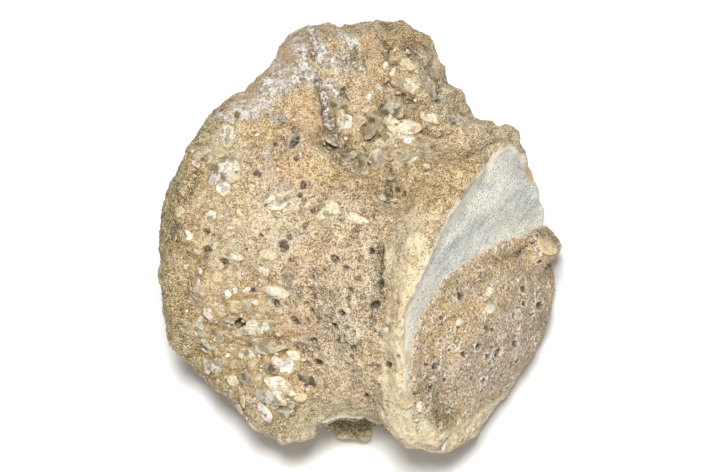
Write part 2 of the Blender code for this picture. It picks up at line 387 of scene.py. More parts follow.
# How common each kind of surface is on the sides that lie away from the upper one.
HIDDEN_SHARE: dict[Zone, float] = {
    Zone.CRUST: 0.10, Zone.OCHRE: 0.45, Zone.SALMON: 0.25, Zone.SPONGE: 0.45, Zone.OLIVE: 0.30,
    Zone.UMBER: 0.25, Zone.PALE: 0.30, Zone.CREAM: 0.20, Zone.SANDY: 0.60, Zone.GREY: 0.15,
}

# Each row is a patch: its middle, half its length and width, its turn and its strength.
PATCHES: dict[Zone, tuple[Patch, ...]] = {
    Zone.CRUST: rows(
        Patch,
        (-22.5, 22.6, 6.0, 1.7, 8.0, 0.75), (-8.6, 36.6, 4.4, 1.2, -62.0, 0.9),
        (-3.6, 32.2, 4.2, 0.8, 62.0, 0.8), (-11.6, 34.0, 4.0, 1.6, -58.0, 0.8),
        (-6.0, 23.0, 4.4, 0.6, -70.0, 0.8), (-17.2, 27.2, 3.4, 2.2, 30.0), (-12.4, 29.8, 4.6, 1.8, -14.0),
        (-6.0, 27.0, 4.0, 0.7, -58.0), (-6.6, 33.4, 3.4, 0.9, -52.0), (-2.2, 36.4, 3.4, 1.0, -46.0),
        (-16.6, 33.6, 1.6, 2.6, 0.0, 0.7), (-1.0, 31.4, 2.6, 0.7, -60.0, 0.8),
        (-17.4, 13.6, 1.0, 4.0, 10.0, 0.5), (18.6, 21.6, 3.0, 1.0, -30.0, 0.5),
        (13.0, 32.0, 3.0, 1.2, -40.0, 0.35), (3.6, 27.6, 3.6, 0.6, -36.0, 0.7),
    ),
    Zone.OCHRE: rows(
        Patch,
        (-19.6, 18.6, 4.4, 2.6), (-30.5, 3.0, 4.6, 12.0), (-23.5, -20.0, 8.5, 9.5, 0.0, 0.8),
        (-13.0, -26.5, 5.0, 4.0, 0.0, 0.8), (11.5, 7.6, 5.5, 6.0), (4.0, 10.5, 5.0, 3.6, 0.0, 0.9),
        (7.2, -14.0, 2.2, 12.0, 0.0, 0.7), (-7.5, 11.5, 6.0, 2.6, -12.0, 0.8),
        (2.0, 28.5, 2.4, 1.8, 0.0, 0.9), (8.8, 37.6, 5.5, 2.2, 0.0, 0.8), (18.0, 12.5, 5.0, 3.6, 30.0, 0.8),
        (24.0, 19.4, 5.0, 2.0, -12.0, 0.8), (6.0, 31.0, 8.0, 6.0, 0.0, 0.4),
        (12.0, 22.0, 4.0, 5.0, 0.0, 0.4),
    ),
    Zone.SALMON: rows(
        Patch,
        (-10.8, 22.4, 4.0, 6.2), (1.9, 35.0, 3.9, 1.5, -38.0), (-14.6, 33.0, 2.0, 3.4, 10.0, 0.8),
        (-14.8, 11.0, 3.6, 4.6, 0.0, 0.7), (-9.5, -3.0, 7.0, 5.0, 0.0, 0.3),
        (-12.0, -17.0, 4.0, 3.0, 0.0, 0.7), (16.0, 33.0, 3.5, 5.0, 0.0, 0.6),
        (8.0, -19.5, 2.4, 8.0, 0.0, 0.5),
    ),
    Zone.SPONGE: rows(
        Patch,
        (-5.5, -10.0, 9.5, 13.0), (-9.0, 5.0, 11.0, 5.0, 0.0, 0.8), (2.0, -24.0, 6.0, 8.0, 0.0, 0.7),
        (17.0, 31.0, 6.0, 7.0, 0.0, 0.6),
    ),
    Zone.OLIVE: rows(
        Patch,
        (-36.3, -6.0, 4.2, 21.0), (-30.0, 20.5, 2.4, 8.0, -42.0, 0.9), (-30.5, -27.5, 6.0, 2.6, -48.0, 0.7),
        (-11.5, -35.5, 5.0, 3.0, 20.0, 0.7), (6.0, 24.0, 5.0, 5.0, 0.0, 0.35),
        # The patch at (0.0, -37.6) darkens the far wall of the hollow: painted shade.
        (24.0, 19.6, 6.5, 2.2, -12.0, 0.2), (0.0, -37.6, 4.2, 2.4, 20.0, 0.9),
    ),
    Zone.UMBER: rows(
        Patch,
        (-6.2, 23.6, 1.5, 6.4, 14.0), (-3.6, 16.6, 2.8, 2.2, -35.0), (0.6, 14.6, 2.4, 1.6, -30.0, 0.9),
        (5.2, 8.6, 2.4, 3.6, 10.0), (3.4, 18.6, 2.6, 2.0, 0.0, 0.8), (3.3, -7.0, 0.9, 12.0, 2.0, 0.7),
        (9.4, 25.0, 4.6, 1.1, -32.0, 0.9), (9.8, 35.6, 3.4, 2.4, 0.0, 0.6),
        (-31.6, 9.0, 1.4, 6.0, -18.0, 0.6), (-23.4, -17.4, 1.6, 1.2, 0.0, 0.9),
        # The patch at (0.4, -38.4) darkens the far wall of the hollow: painted shade.
        (15.6, -27.6, 5.0, 2.6, 0.0, 0.4), (0.4, -38.4, 4.0, 2.0, 20.0, 0.9),
        (-8.6, 35.0, 1.0, 3.4, 0.0, 0.6), (4.4, 34.0, 1.0, 3.4, 10.0, 0.6),
        (22.0, 16.2, 3.6, 0.5, 27.0, 0.9),
    ),
    Zone.PALE: rows(
        Patch,
        (-25.6, 14.2, 4.0, 5.6), (-17.4, -29.2, 3.2, 2.8), (-26.0, -2.0, 4.0, 9.0, 0.0, 0.45),
        (-5.6, 4.0, 4.6, 2.6, -10.0, 0.7), (-2.0, -17.5, 3.2, 5.6, 0.0, 0.45),
        (6.2, 14.4, 4.6, 2.4, 0.0, 0.8), (6.0, -4.8, 1.8, 4.4, 0.0, 0.8), (-15.4, 6.0, 4.6, 2.6, 0.0, 0.6),
        (13.0, 21.5, 5.0, 3.0, -20.0, 0.4), (13.8, 27.4, 3.4, 5.6, 0.0, 0.7),
        (24.0, 19.2, 5.0, 2.2, -12.0, 0.5), (17.6, -37.4, 5.0, 2.4, 0.0, 0.7),
        (-23.0, -20.0, 6.0, 6.0, 0.0, 0.4), (-12.4, 29.4, 4.6, 2.6, 0.0, 0.7),
    ),
    Zone.CREAM: rows(
        Patch,
        (8.6, -10.0, 2.8, 13.0, -6.0), (7.0, -30.0, 3.2, 8.0, 0.0, 0.9), (6.2, -22.0, 2.6, 11.0, 0.0, 0.8),
        # The patches from (12.0, -39.0) to (17.6, -37.6) lighten the lower rim, which faces down, away from
        # the light: painted light over its cream colour.
        (12.0, -39.0, 8.0, 3.0, -28.0), (18.6, -38.4, 7.0, 2.6, 12.0), (27.0, -32.6, 6.6, 2.2, 45.0, 0.9),
        (22.4, -36.6, 4.6, 2.8, 30.0), (32.0, -27.0, 6.0, 2.2, 48.0), (17.6, -37.6, 5.0, 2.6, 0.0),
        (-15.0, 3.5, 6.0, 6.0, 0.0, 0.3), (-8.0, -36.0, 6.0, 2.0, 24.0, 0.6),
    ),
    Zone.SANDY: rows(
        Patch,
        (-25.0, -16.0, 9.5, 16.0), (-18.0, -27.0, 8.5, 7.5), (-26.0, 12.0, 6.0, 8.0, 0.0, 0.8),
        (5.0, 17.5, 10.0, 8.0, 0.0, 0.9), (7.0, 32.0, 10.0, 7.0, 0.0, 0.6),
        (6.0, -14.0, 3.0, 14.0, 0.0, 0.5), (18.0, -38.0, 9.0, 4.0, 0.0, 0.6),
    ),
    Zone.GREY: rows(
        Patch,
        (-13.0, -9.4, 2.6, 1.0, -58.0), (-10.6, -26.6, 2.6, 1.1, -14.0), (-3.0, 32.0, 3.0, 1.2, -62.0, 0.9),
        (2.0, -9.0, 1.4, 7.0, 4.0, 0.5), (-13.4, -0.8, 6.0, 2.2, 18.0, 0.4),
        (-5.6, -15.6, 3.0, 4.0, 0.0, 0.4), (-15.5, 9.0, 3.0, 1.4, 0.0, 0.5),
        (-2.0, 12.8, 3.0, 1.6, -25.0, 0.7), (10.5, 29.5, 3.0, 2.0, 0.0, 0.5),
        (-16.0, 21.6, 1.4, 1.4, 0.0, 0.7),
    ),
}

# The smooth, finely striated skin of the hollow between the two feet.
STRIATED_EDGE: Path2 = (
    (-15.2, -38.4), (-13.6, -34.2), (-9.4, -31.6), (-4.6, -30.4), (-1.2, -30.8), (2.0, -34.0),
    (6.4, -38.0), (9.6, -41.4), (4.0, -44.0), (-10.0, -46.0),
)

# The thin front edge of the hollow, and the piece of its far wall that shows beneath that edge.
ARCH_EDGE: Path2 = (
    (-9.4, -37.2), (-8.4, -36.5), (-6.7, -35.6), (-5.8, -35.1), (-3.9, -34.6), (-0.8, -34.7), (0.5, -35.0),
    (1.7, -35.9), (3.0, -36.7),
)
FAR_WALL: Path2 = ARCH_EDGE[1:] + (
    (2.2, -37.2), (1.1, -38.2), (0.8, -39.4), (-0.3, -41.0), (-3.6, -41.0), (-4.2, -39.4), (-6.1, -38.2),
    (-7.7, -36.8),
)

# Knobs and nicks of the outline; the strength is their height in millimetres.
OUTLINE_KNOBS: tuple[Patch, ...] = rows(
    Patch,
    (-3.9, -38.4, 1.6, 1.6, 0.0, 0.9), (0.6, -38.2, 1.6, 1.8, 0.0, 1.3), (-14.6, -39.4, 2.4, 2.4, 0.0, 0.7),
    (-10.8, -38.7, 2.0, 2.0, 0.0, 0.9), (-7.8, -37.0, 1.0, 1.3, 0.0, -1.2),
    (2.7, -37.2, 1.2, 1.6, 0.0, -1.0), (14.8, 33.4, 1.7, 1.7, 0.0, 0.9), (-16.4, 36.0, 2.2, 2.2, 0.0, 0.8),
    (5.7, 40.4, 1.8, 1.8, 0.0, -0.6), (-23.6, 26.8, 2.4, 2.4, 0.0, 0.6), (-20.0, -37.2, 2.4, 2.4, 0.0, 0.6),
    (19.2, 26.4, 1.4, 1.4, 0.0, 0.6), (26.6, 20.7, 1.8, 1.8, 0.0, 0.5),
)

# Each row is a pore: its middle, radius, stretch, turn and the height of its rim.
PORES: tuple[Pore, ...] = rows(
    Pore,
    (-14.6, -2.3, 1.15, 1.2, -30.0, 0.5), (-13.5, -4.8, 0.45), (-19.4, 11.2, 0.85, 1.3, -20.0),
    (-16.0, 16.9, 0.55, 1.3, 80.0), (-16.0, 13.9, 0.5), (-19.6, 14.1, 0.4), (-19.8, 19.0, 0.4),
    (-12.6, 17.4, 1.1, 1.5, 62.0, 0.2), (-12.2, 14.0, 0.75), (-11.0, 9.1, 0.85, 1.1, 20.0),
    (-11.6, 7.2, 0.6, 1.0, 0.0, 0.3), (-7.6, 11.2, 0.4), (-5.1, -4.6, 0.9, 1.3, -40.0), (-3.0, -6.2, 0.55),
    (-9.3, -8.0, 0.5), (-3.8, -14.6, 0.85, 1.2, -35.0), (-5.1, -17.1, 0.75, 1.4, -30.0),
    (-4.4, -19.9, 0.6, 1.4, 20.0), (-1.6, -18.0, 0.4), (2.1, -13.5, 0.95, 1.1, 30.0),
    (3.6, -18.6, 0.8, 1.2, 10.0), (3.4, -9.0, 0.6, 1.8, 84.0), (0.8, -30.6, 0.55),
    (-8.2, -23.9, 0.75, 1.5, -20.0), (-9.4, -20.0, 0.75, 1.7, 14.0), (-28.9, 0.4, 0.75),
    (-28.9, -2.9, 0.8, 1.4, 5.0), (-25.5, -5.3, 0.85, 1.4, -60.0), (-25.9, -8.4, 0.6), (-24.9, 0.9, 0.55),
    (-21.5, -2.9, 0.4), (-18.6, -0.2, 0.5), (-17.9, 5.3, 0.4), (-4.0, 2.7, 0.4), (-30.6, 16.7, 0.6),
    (-29.8, 13.9, 0.55), (-16.1, -12.9, 0.8, 1.5, -24.0), (-20.5, -10.6, 0.55, 1.4, 30.0),
    (-22.6, -17.0, 1.2, 1.3, -30.0), (-12.3, -16.2, 0.8, 1.8, -38.0), (-10.4, -28.4, 0.5),
    (-6.2, -10.8, 0.45), (-6.4, 18.2, 0.6), (-1.9, 15.4, 0.7), (7.6, 7.4, 0.6), (1.8, -3.0, 0.6, 1.6, 84.0),
    (18.6, 23.6, 0.55, 1.3, -20.0), (17.1, 21.6, 0.5, 1.6, -30.0), (7.8, 25.8, 0.55, 1.8, -40.0),
    (13.0, -2.8, 0.35), (6.6, -22.6, 0.5), (4.8, -24.4, 0.7, 1.3, 40.0),
)

GROOVES: tuple[Groove, ...] = rows(
    Groove,
    (((-8.0, 28.6), (-7.2, 26.4), (-6.6, 24.2)), 0.95, 0.9),
    (((-6.8, 22.6), (-5.6, 20.0), (-5.6, 17.4), (-6.2, 16.6)), 1.0, 1.2),
    (((-4.6, 16.6), (-2.8, 15.4), (-0.6, 14.2), (1.2, 13.6)), 0.9, 0.9),
    (((-3.6, 27.0), (-3.2, 25.0)), 0.8, 0.8),
    (((-4.0, 23.4), (-2.4, 21.8)), 0.6, 0.6),
    (((4.2, 28.3), (6.3, 26.8), (9.3, 24.3)), 0.65, 1.0),
    (((0.4, 19.0), (2.4, 18.2)), 1.1, 0.8),
    (((3.6, 23.4), (4.8, 22.2), (7.4, 21.8)), 0.8, 0.6),
    (((0.4, 34.0), (0.2, 32.0)), 0.55, 0.9),
    (((5.4, 31.6), (7.4, 31.6)), 0.35, 0.6),
    (((8.2, 35.2), (9.4, 33.6), (11.0, 33.6)), 0.9, 0.5),
    (((4.0, 40.2), (5.4, 39.0)), 0.7, 0.5),
    (((-9.8, 38.0), (-8.6, 35.6), (-8.8, 33.0)), 0.7, 0.7),
    (((-3.2, 36.8), (-1.6, 34.4), (-1.4, 31.4)), 0.6, 0.7),
    (((-12.8, 31.8), (-10.8, 29.6)), 0.6, 0.6),
    (((3.0, 37.4), (4.8, 34.8), (4.2, 32.0)), 0.7, 0.7),
    (((12.6, 31.4), (14.6, 28.4), (14.2, 25.4)), 0.7, 0.6),
    (((8.6, 21.4), (11.4, 19.4), (14.6, 18.8)), 0.7, 0.6),
    (((16.8, 21.6), (17.8, 20.8)), 0.5, 0.8),
    (((18.6, 23.4), (19.0, 22.4)), 0.4, 0.6),
    (((4.6, 13.4), (5.2, 9.6), (4.6, 6.4)), 0.8, 0.5),
    (((-31.0, 12.6), (-31.8, 8.8), (-32.4, 6.6)), 0.6, 0.4),
    (((-22.4, -17.0), (-20.8, -18.2)), 0.9, 0.6),
    (((-12.8, -20.6), (-9.6, -22.6)), 0.7, 0.6),
    (((-11.6, -24.8), (-9.4, -24.2)), 0.5, 0.4),
    (((-13.8, 16.6), (-13.2, 18.6), (-12.2, 19.6)), 0.7, 0.5),
    (((3.4, -2.4), (3.2, -6.0), (3.0, -10.0)), 0.7, 0.7),
    (((2.6, -13.0), (1.6, -17.0)), 0.6, 0.5),
)

CRACKS: tuple[Path2, ...] = (
    ((18.4, 13.6), (20.4, 15.6), (22.6, 16.4), (24.9, 17.6)),
    ((19.6, 14.4), (21.8, 16.2)),
    ((3.9, -2.0), (3.5, -7.0), (3.2, -11.0)),
)

# Each row is a grain: its middle, half its length and width, its turn, its kind and its rise.
BIG_GRAINS: tuple[GrainSpot, ...] = rows(
    GrainSpot,
    (-25.6, 18.4, 1.9, 1.9, 10.0, CALCITE), (-28.8, 14.8, 0.8, 1.4, -6.0, CALCITE),
    (-24.9, 12.3, 1.8, 2.2, 14.0, CALCITE), (-27.1, 12.6, 1.0, 1.3, -20.0, CALCITE),
    (-27.4, 10.3, 2.0, 0.95, 4.0, CALCITE), (-26.6, 15.4, 1.1, 1.0, 40.0, CHALKY),
    (-21.7, 10.6, 1.2, 0.7, 0.0, CHALKY), (-32.1, 0.2, 1.1, 1.45, 12.0, CALCITE),
    (-29.4, 3.5, 2.0, 1.1, 6.0, CALCITE), (-34.0, 4.4, 0.75, 1.0, 0.0, CHALKY),
    (-25.6, 2.9, 1.0, 0.9, 0.0, CALCITE), (-23.4, 2.0, 0.8, 1.0, 20.0, CHALKY),
    (-24.4, 0.6, 0.8, 0.7, 0.0, CALCITE), (-22.4, 4.0, 0.8, 0.6, 0.0, CHALKY),
    (-17.3, 6.6, 1.0, 0.8, 0.0, CALCITE), (-15.2, 5.4, 2.0, 0.75, 6.0, CALCITE),
    (-6.5, 4.4, 1.9, 1.6, -14.0, CALCITE), (-0.8, 2.9, 2.0, 0.65, -24.0, CHALKY),
    (-17.5, -3.9, 1.5, 0.9, 6.0, CHALKY), (-16.1, -10.8, 1.9, 0.95, -12.0, CHALKY),
    (-18.4, -7.0, 1.1, 0.9, 0.0, CALCITE), (-3.4, -10.8, 0.9, 0.8, 0.0, CHALKY),
    (-19.4, -17.4, 3.3, 1.3, 24.0, CALCITE), (-18.1, -21.1, 3.3, 1.6, 18.0, CALCITE),
    (-28.7, -14.7, 1.1, 0.9, 16.0, CHALKY), (-29.5, -20.5, 1.6, 1.2, 0.0, CALCITE),
    (-27.0, -19.4, 1.1, 1.0, 30.0, GREY), (-29.4, -24.7, 1.1, 2.0, 8.0, CALCITE),
    (-27.3, -24.7, 1.0, 1.9, -10.0, CALCITE), (-14.6, -24.6, 1.6, 1.6, 0.0, CALCITE),
    (-17.1, -25.0, 1.5, 1.1, 40.0, GREY), (-21.7, -27.4, 1.5, 1.3, 0.0, GREY),
    (-15.1, -28.6, 2.5, 1.6, -24.0, CALCITE), (-17.6, -30.7, 2.6, 1.6, 20.0, CALCITE),
    (-18.5, -33.3, 1.6, 1.3, -20.0, CALCITE), (-15.2, -33.2, 2.9, 1.3, 44.0, GREY),
    (-22.8, -30.5, 1.0, 1.7, 8.0, CHALKY), (-24.1, -27.9, 1.0, 1.3, 20.0, CALCITE),
    (-9.8, -27.1, 2.6, 0.95, -8.0, GREY), (-25.4, -18.0, 1.2, 1.0, 0.0, CALCITE),
    (-23.8, -13.6, 1.3, 1.1, 30.0, CALCITE), (-24.6, -10.6, 1.0, 1.0, 0.0, CALCITE),
    (-22.0, -22.6, 1.6, 1.1, 10.0, CALCITE), (-21.6, -13.4, 0.9, 1.3, 0.0, GREY),
    (-30.6, -17.4, 1.0, 0.9, 0.0, CALCITE), (-31.0, -9.4, 0.9, 1.2, 0.0, CALCITE),
    (-26.8, -8.0, 1.1, 0.9, 0.0, CHALKY), (-23.8, -24.6, 1.1, 0.8, 0.0, CALCITE),
    (-20.6, -24.4, 1.2, 0.9, 20.0, CALCITE), (-12.8, -22.6, 1.1, 0.8, -20.0, CALCITE),
    (-11.6, -30.6, 1.2, 0.9, 0.0, CHALKY), (-12.9, -8.8, 1.0, 1.7, 30.0, GREY),
    (2.6, 13.9, 1.7, 1.4, 70.0, CALCITE), (9.1, 13.8, 1.3, 1.0, 20.0, CALCITE),
    (4.6, 17.6, 1.8, 1.2, 10.0, CALCITE), (9.4, 17.4, 1.7, 1.1, -20.0, CALCITE),
    (3.2, 20.6, 1.8, 1.3, -30.0, GREY), (0.0, 13.4, 1.0, 1.2, 0.0, GREY), (-2.6, 14.4, 1.2, 1.0, 0.0, GREY),
    (6.4, 15.2, 1.0, 0.9, 0.0, CALCITE), (12.6, 21.8, 1.5, 1.0, -10.0, CALCITE),
    (5.4, 23.2, 1.9, 1.4, 10.0, GREY), (1.2, 19.6, 1.6, 1.5, 0.0, GREY),
    (7.4, 20.0, 2.3, 1.4, -6.0, CALCITE), (-3.4, 21.0, 1.2, 1.8, 10.0, CALCITE),
    (9.0, 28.0, 1.8, 1.2, -30.0, CALCITE), (12.4, 35.0, 1.2, 1.0, 0.0, GREY),
    (13.4, 26.0, 1.3, 1.1, 0.0, GREY), (8.2, 31.6, 1.4, 1.1, 30.0, CALCITE),
    (-5.4, 23.6, 0.9, 1.9, -12.0, GREY), (5.4, -4.6, 1.3, 2.0, 0.0, CHALKY),
    (8.8, -4.2, 1.0, 1.2, 0.0, CHALKY), (7.0, -3.0, 1.0, 0.9, 0.0, GREY),
    (8.0, -31.6, 1.1, 0.9, 0.0, CHALKY), (13.8, -28.8, 1.0, 1.0, 0.0, CALCITE),
    (35.1, -2.3, 1.6, 1.3, -10.0, CHALKY, 0.5), (23.4, -10.8, 1.1, 0.8, 0.0, CHALKY, 0.30),
    (23.8, -14.0, 1.3, 0.9, 10.0, CHALKY, 0.30), (23.2, -17.2, 0.9, 0.8, 0.0, GREY, 0.30),
    (18.0, -16.4, 0.6, 0.6, 0.0, CHALKY, 0.30), (11.0, -32.0, 1.0, 1.1, 0.0, CHALKY, 0.30),
    (17.6, -35.0, 0.9, 0.7, 0.0, CHALKY, 0.30),
)

# The upper edge of the lump that fills the cup, the lump's whole outline, and the marl wedge above it.
LUMP_BROW: Path2 = (
    (40.0, 1.8), (36.5, 1.8), (33.8, 1.2), (31.9, 0.2), (29.6, -0.6), (26.6, -1.1), (23.6, -2.7),
    (21.3, -4.0), (18.6, -5.9), (16.3, -7.4), (14.4, -9.1), (12.7, -11.8), (10.8, -15.2), (9.8, -18.2),
    (8.9, -22.0), (8.7, -27.0), (9.8, -31.2), (11.9, -34.2), (14.1, -37.2),
)
LUMP_FOOT: Path2 = (
    (18.4, -35.7), (22.1, -33.3), (25.9, -31.4), (28.5, -29.3), (31.2, -25.1), (36.0, -20.0),
    (41.0, -14.0), (42.0, -6.0),
)
LUMP_EDGE: Path2 = LUMP_BROW + LUMP_FOOT
MARL_EDGE: Path2 = (
    (25.8, 15.4), (23.6, 12.8), (20.1, 8.2), (17.0, 4.0), (14.9, 0.6), (13.5, -3.0), (12.1, -5.5),
    (10.8, -8.6), (9.5, -12.0), (8.4, -15.6), (8.2, -18.4), (8.1, -20.6), (8.5, -21.6), (9.6, -21.6),
    (11.0, -18.4), (12.3, -15.6), (14.0, -12.6), (15.6, -10.6), (17.4, -8.8), (19.6, -7.4), (22.2, -5.4),
    (24.4, -4.2), (27.0, -2.7), (29.8, -2.2), (32.2, -1.4), (34.4, -0.6), (38.0, -0.4), (39.0, 6.0),
    (36.0, 12.4), (32.0, 14.6), (29.8, 14.6), (27.8, 16.2),
)
MARL_GRAIN_DEGREES = 46.0

# Below the wedge the marl is no more than a thin seam in the joint between the rim and the lump.
MARL_SEAM: Path2 = (
    (8.5, -20.8), (8.1, -23.0), (8.1, -27.0), (8.5, -29.6), (9.6, -32.6), (11.4, -35.0), (13.0, -36.4),
)

# ---- The skin of the block ----


def read_vectors(mesh: bpy.types.Mesh, name: str = "co") -> np.ndarray:
    """Read one vector for each of the mesh's vertices.

    Args:
        mesh: the mesh.
        name: "co" for their places or "normal" for their normals.

    Returns:
        N by 3 array.
    """
    values = np.empty(len(mesh.vertices) * 3, dtype=np.float32)
    mesh.vertices.foreach_get(name, values)
    return values.reshape(-1, 3).astype(float)


def write_vectors(mesh: bpy.types.Mesh, points: np.ndarray) -> None:
    """Move the mesh's vertices to the given places."""
    mesh.vertices.foreach_set("co", points.astype(np.float32).ravel())
    mesh.update()


def new_object(name: str, mesh: bpy.types.Mesh) -> bpy.types.Object:
    """Add an object to the scene.

    Args:
        name: its name.
        mesh: the mesh that it shows.

    Returns:
        The object.
    """
    shape = bpy.data.objects.new(name, mesh)
    bpy.context.scene.collection.objects.link(shape)
    return shape


def settle(shape: bpy.types.Object) -> None:
    """Apply an object's modifiers to its mesh.

    Args:
        shape: the object.
    """
    bpy.context.view_layer.update()
    evaluated = shape.evaluated_get(bpy.context.evaluated_depsgraph_get())
    settled = bpy.data.meshes.new_from_object(evaluated)
    stale = shape.data
    shape.modifiers.clear()
    shape.data = settled
    bpy.data.meshes.remove(stale)


def refine(shape: bpy.types.Object) -> None:
    """Give an object a modifier that splits each face into four and rounds them.

    Args:
        shape: the object.
    """
    split = shape.modifiers.new("Refine", "SUBSURF")
    split.levels = 1
    split.render_levels = 1


def store(mesh: bpy.types.Mesh, name: str, values: np.ndarray) -> None:
    """Keep one number per vertex under a name, for the materials to read."""
    layer = mesh.attributes.get(name) or mesh.attributes.new(name, "FLOAT", "POINT")
    layer.data.foreach_set("value", values.astype(np.float32))


def patched(patches: Sequence[Patch], points: np.ndarray) -> np.ndarray:
    """Return how far some patches cover each point, from 0 to 1."""
    return np.clip(sum(patch.at(points) for patch in patches), 0.0, 1.0)


@dataclass
class Surface:
    """Points of the skin with what the relief and the masks need to know about them."""

    points: np.ndarray
    normals: np.ndarray
    masks: dict[str, np.ndarray] = field(default_factory=dict)

    @classmethod
    def of(cls, mesh: bpy.types.Mesh) -> "Surface":
        """Return the surface of a mesh, with no mask yet."""
        return cls(read_vectors(mesh), read_vectors(mesh, "normal"))

    def facing(self, low: float = 0.02, high: float = 0.35) -> np.ndarray:
        """Return 1 where the skin faces upwards in the specimen's frame and 0 where it faces away."""
        return smoothstep(low, high, self.normals[:, 2])


class NearSearch:
    """Finds the points that lie near a place."""

    def __init__(self, points: np.ndarray) -> None:
        """Sort the points by their X.

        Args:
            points: N by 3 array in millimetres.
        """
        self.points = points
        self.order = np.argsort(points[:, 0])
        self.ordered = points[self.order, 0]

    def near(self, centre: np.ndarray, wide: float) -> np.ndarray:
        """Find the points in a box.

        Args:
            centre: the box's middle.
            wide: half its side.

        Returns:
            The points' numbers.
        """
        first, last = np.searchsorted(self.ordered, (centre[0] - wide, centre[0] + wide))
        near = self.order[first:last]
        return near[np.abs(self.points[near] - centre).max(axis=1) < wide]


class ZoneMap:
    """Works out which kinds of surface lie at each point of the skin."""

    def __init__(self) -> None:
        """Set up the noises that make the edges of the zones ragged."""
        self.bend = SolidNoise(11)
        self.spread = SolidNoise(12)

    def at(self, surface: Surface) -> dict[str, np.ndarray]:
        """Return each zone's share at each point.

        Args:
            surface: the points and normals of the skin.

        Returns:
            One array from 0 to 1 for each zone, by the zone's name in lower case.
        """
        points = surface.points
        ragged = points.copy()
        ragged[:, 0] += 0.9 * self.bend.octaves(points, 3.2, 3)
        ragged[:, 1] += 0.9 * self.bend.octaves(points + 50.0, 3.2, 3)
        seen = surface.facing(-0.15, 0.15)
        shares = {}
        for number, (zone, patches) in enumerate(PATCHES.items()):
            share = np.zeros(len(points))
            upper = seen > 0.0
            share[upper] = seen[upper] * patched(patches, ragged[upper])
            lower = seen < 1.0
            wild = self.spread.octaves(points[lower] + 90.0 * (number + 1), 9.0, 3)
            cut = 0.9 - 1.5 * HIDDEN_SHARE[zone]
            share[lower] += (1.0 - seen[lower]) * smoothstep(cut - 0.25, cut + 0.25, wild)
            shares[zone.value] = share
        return shares


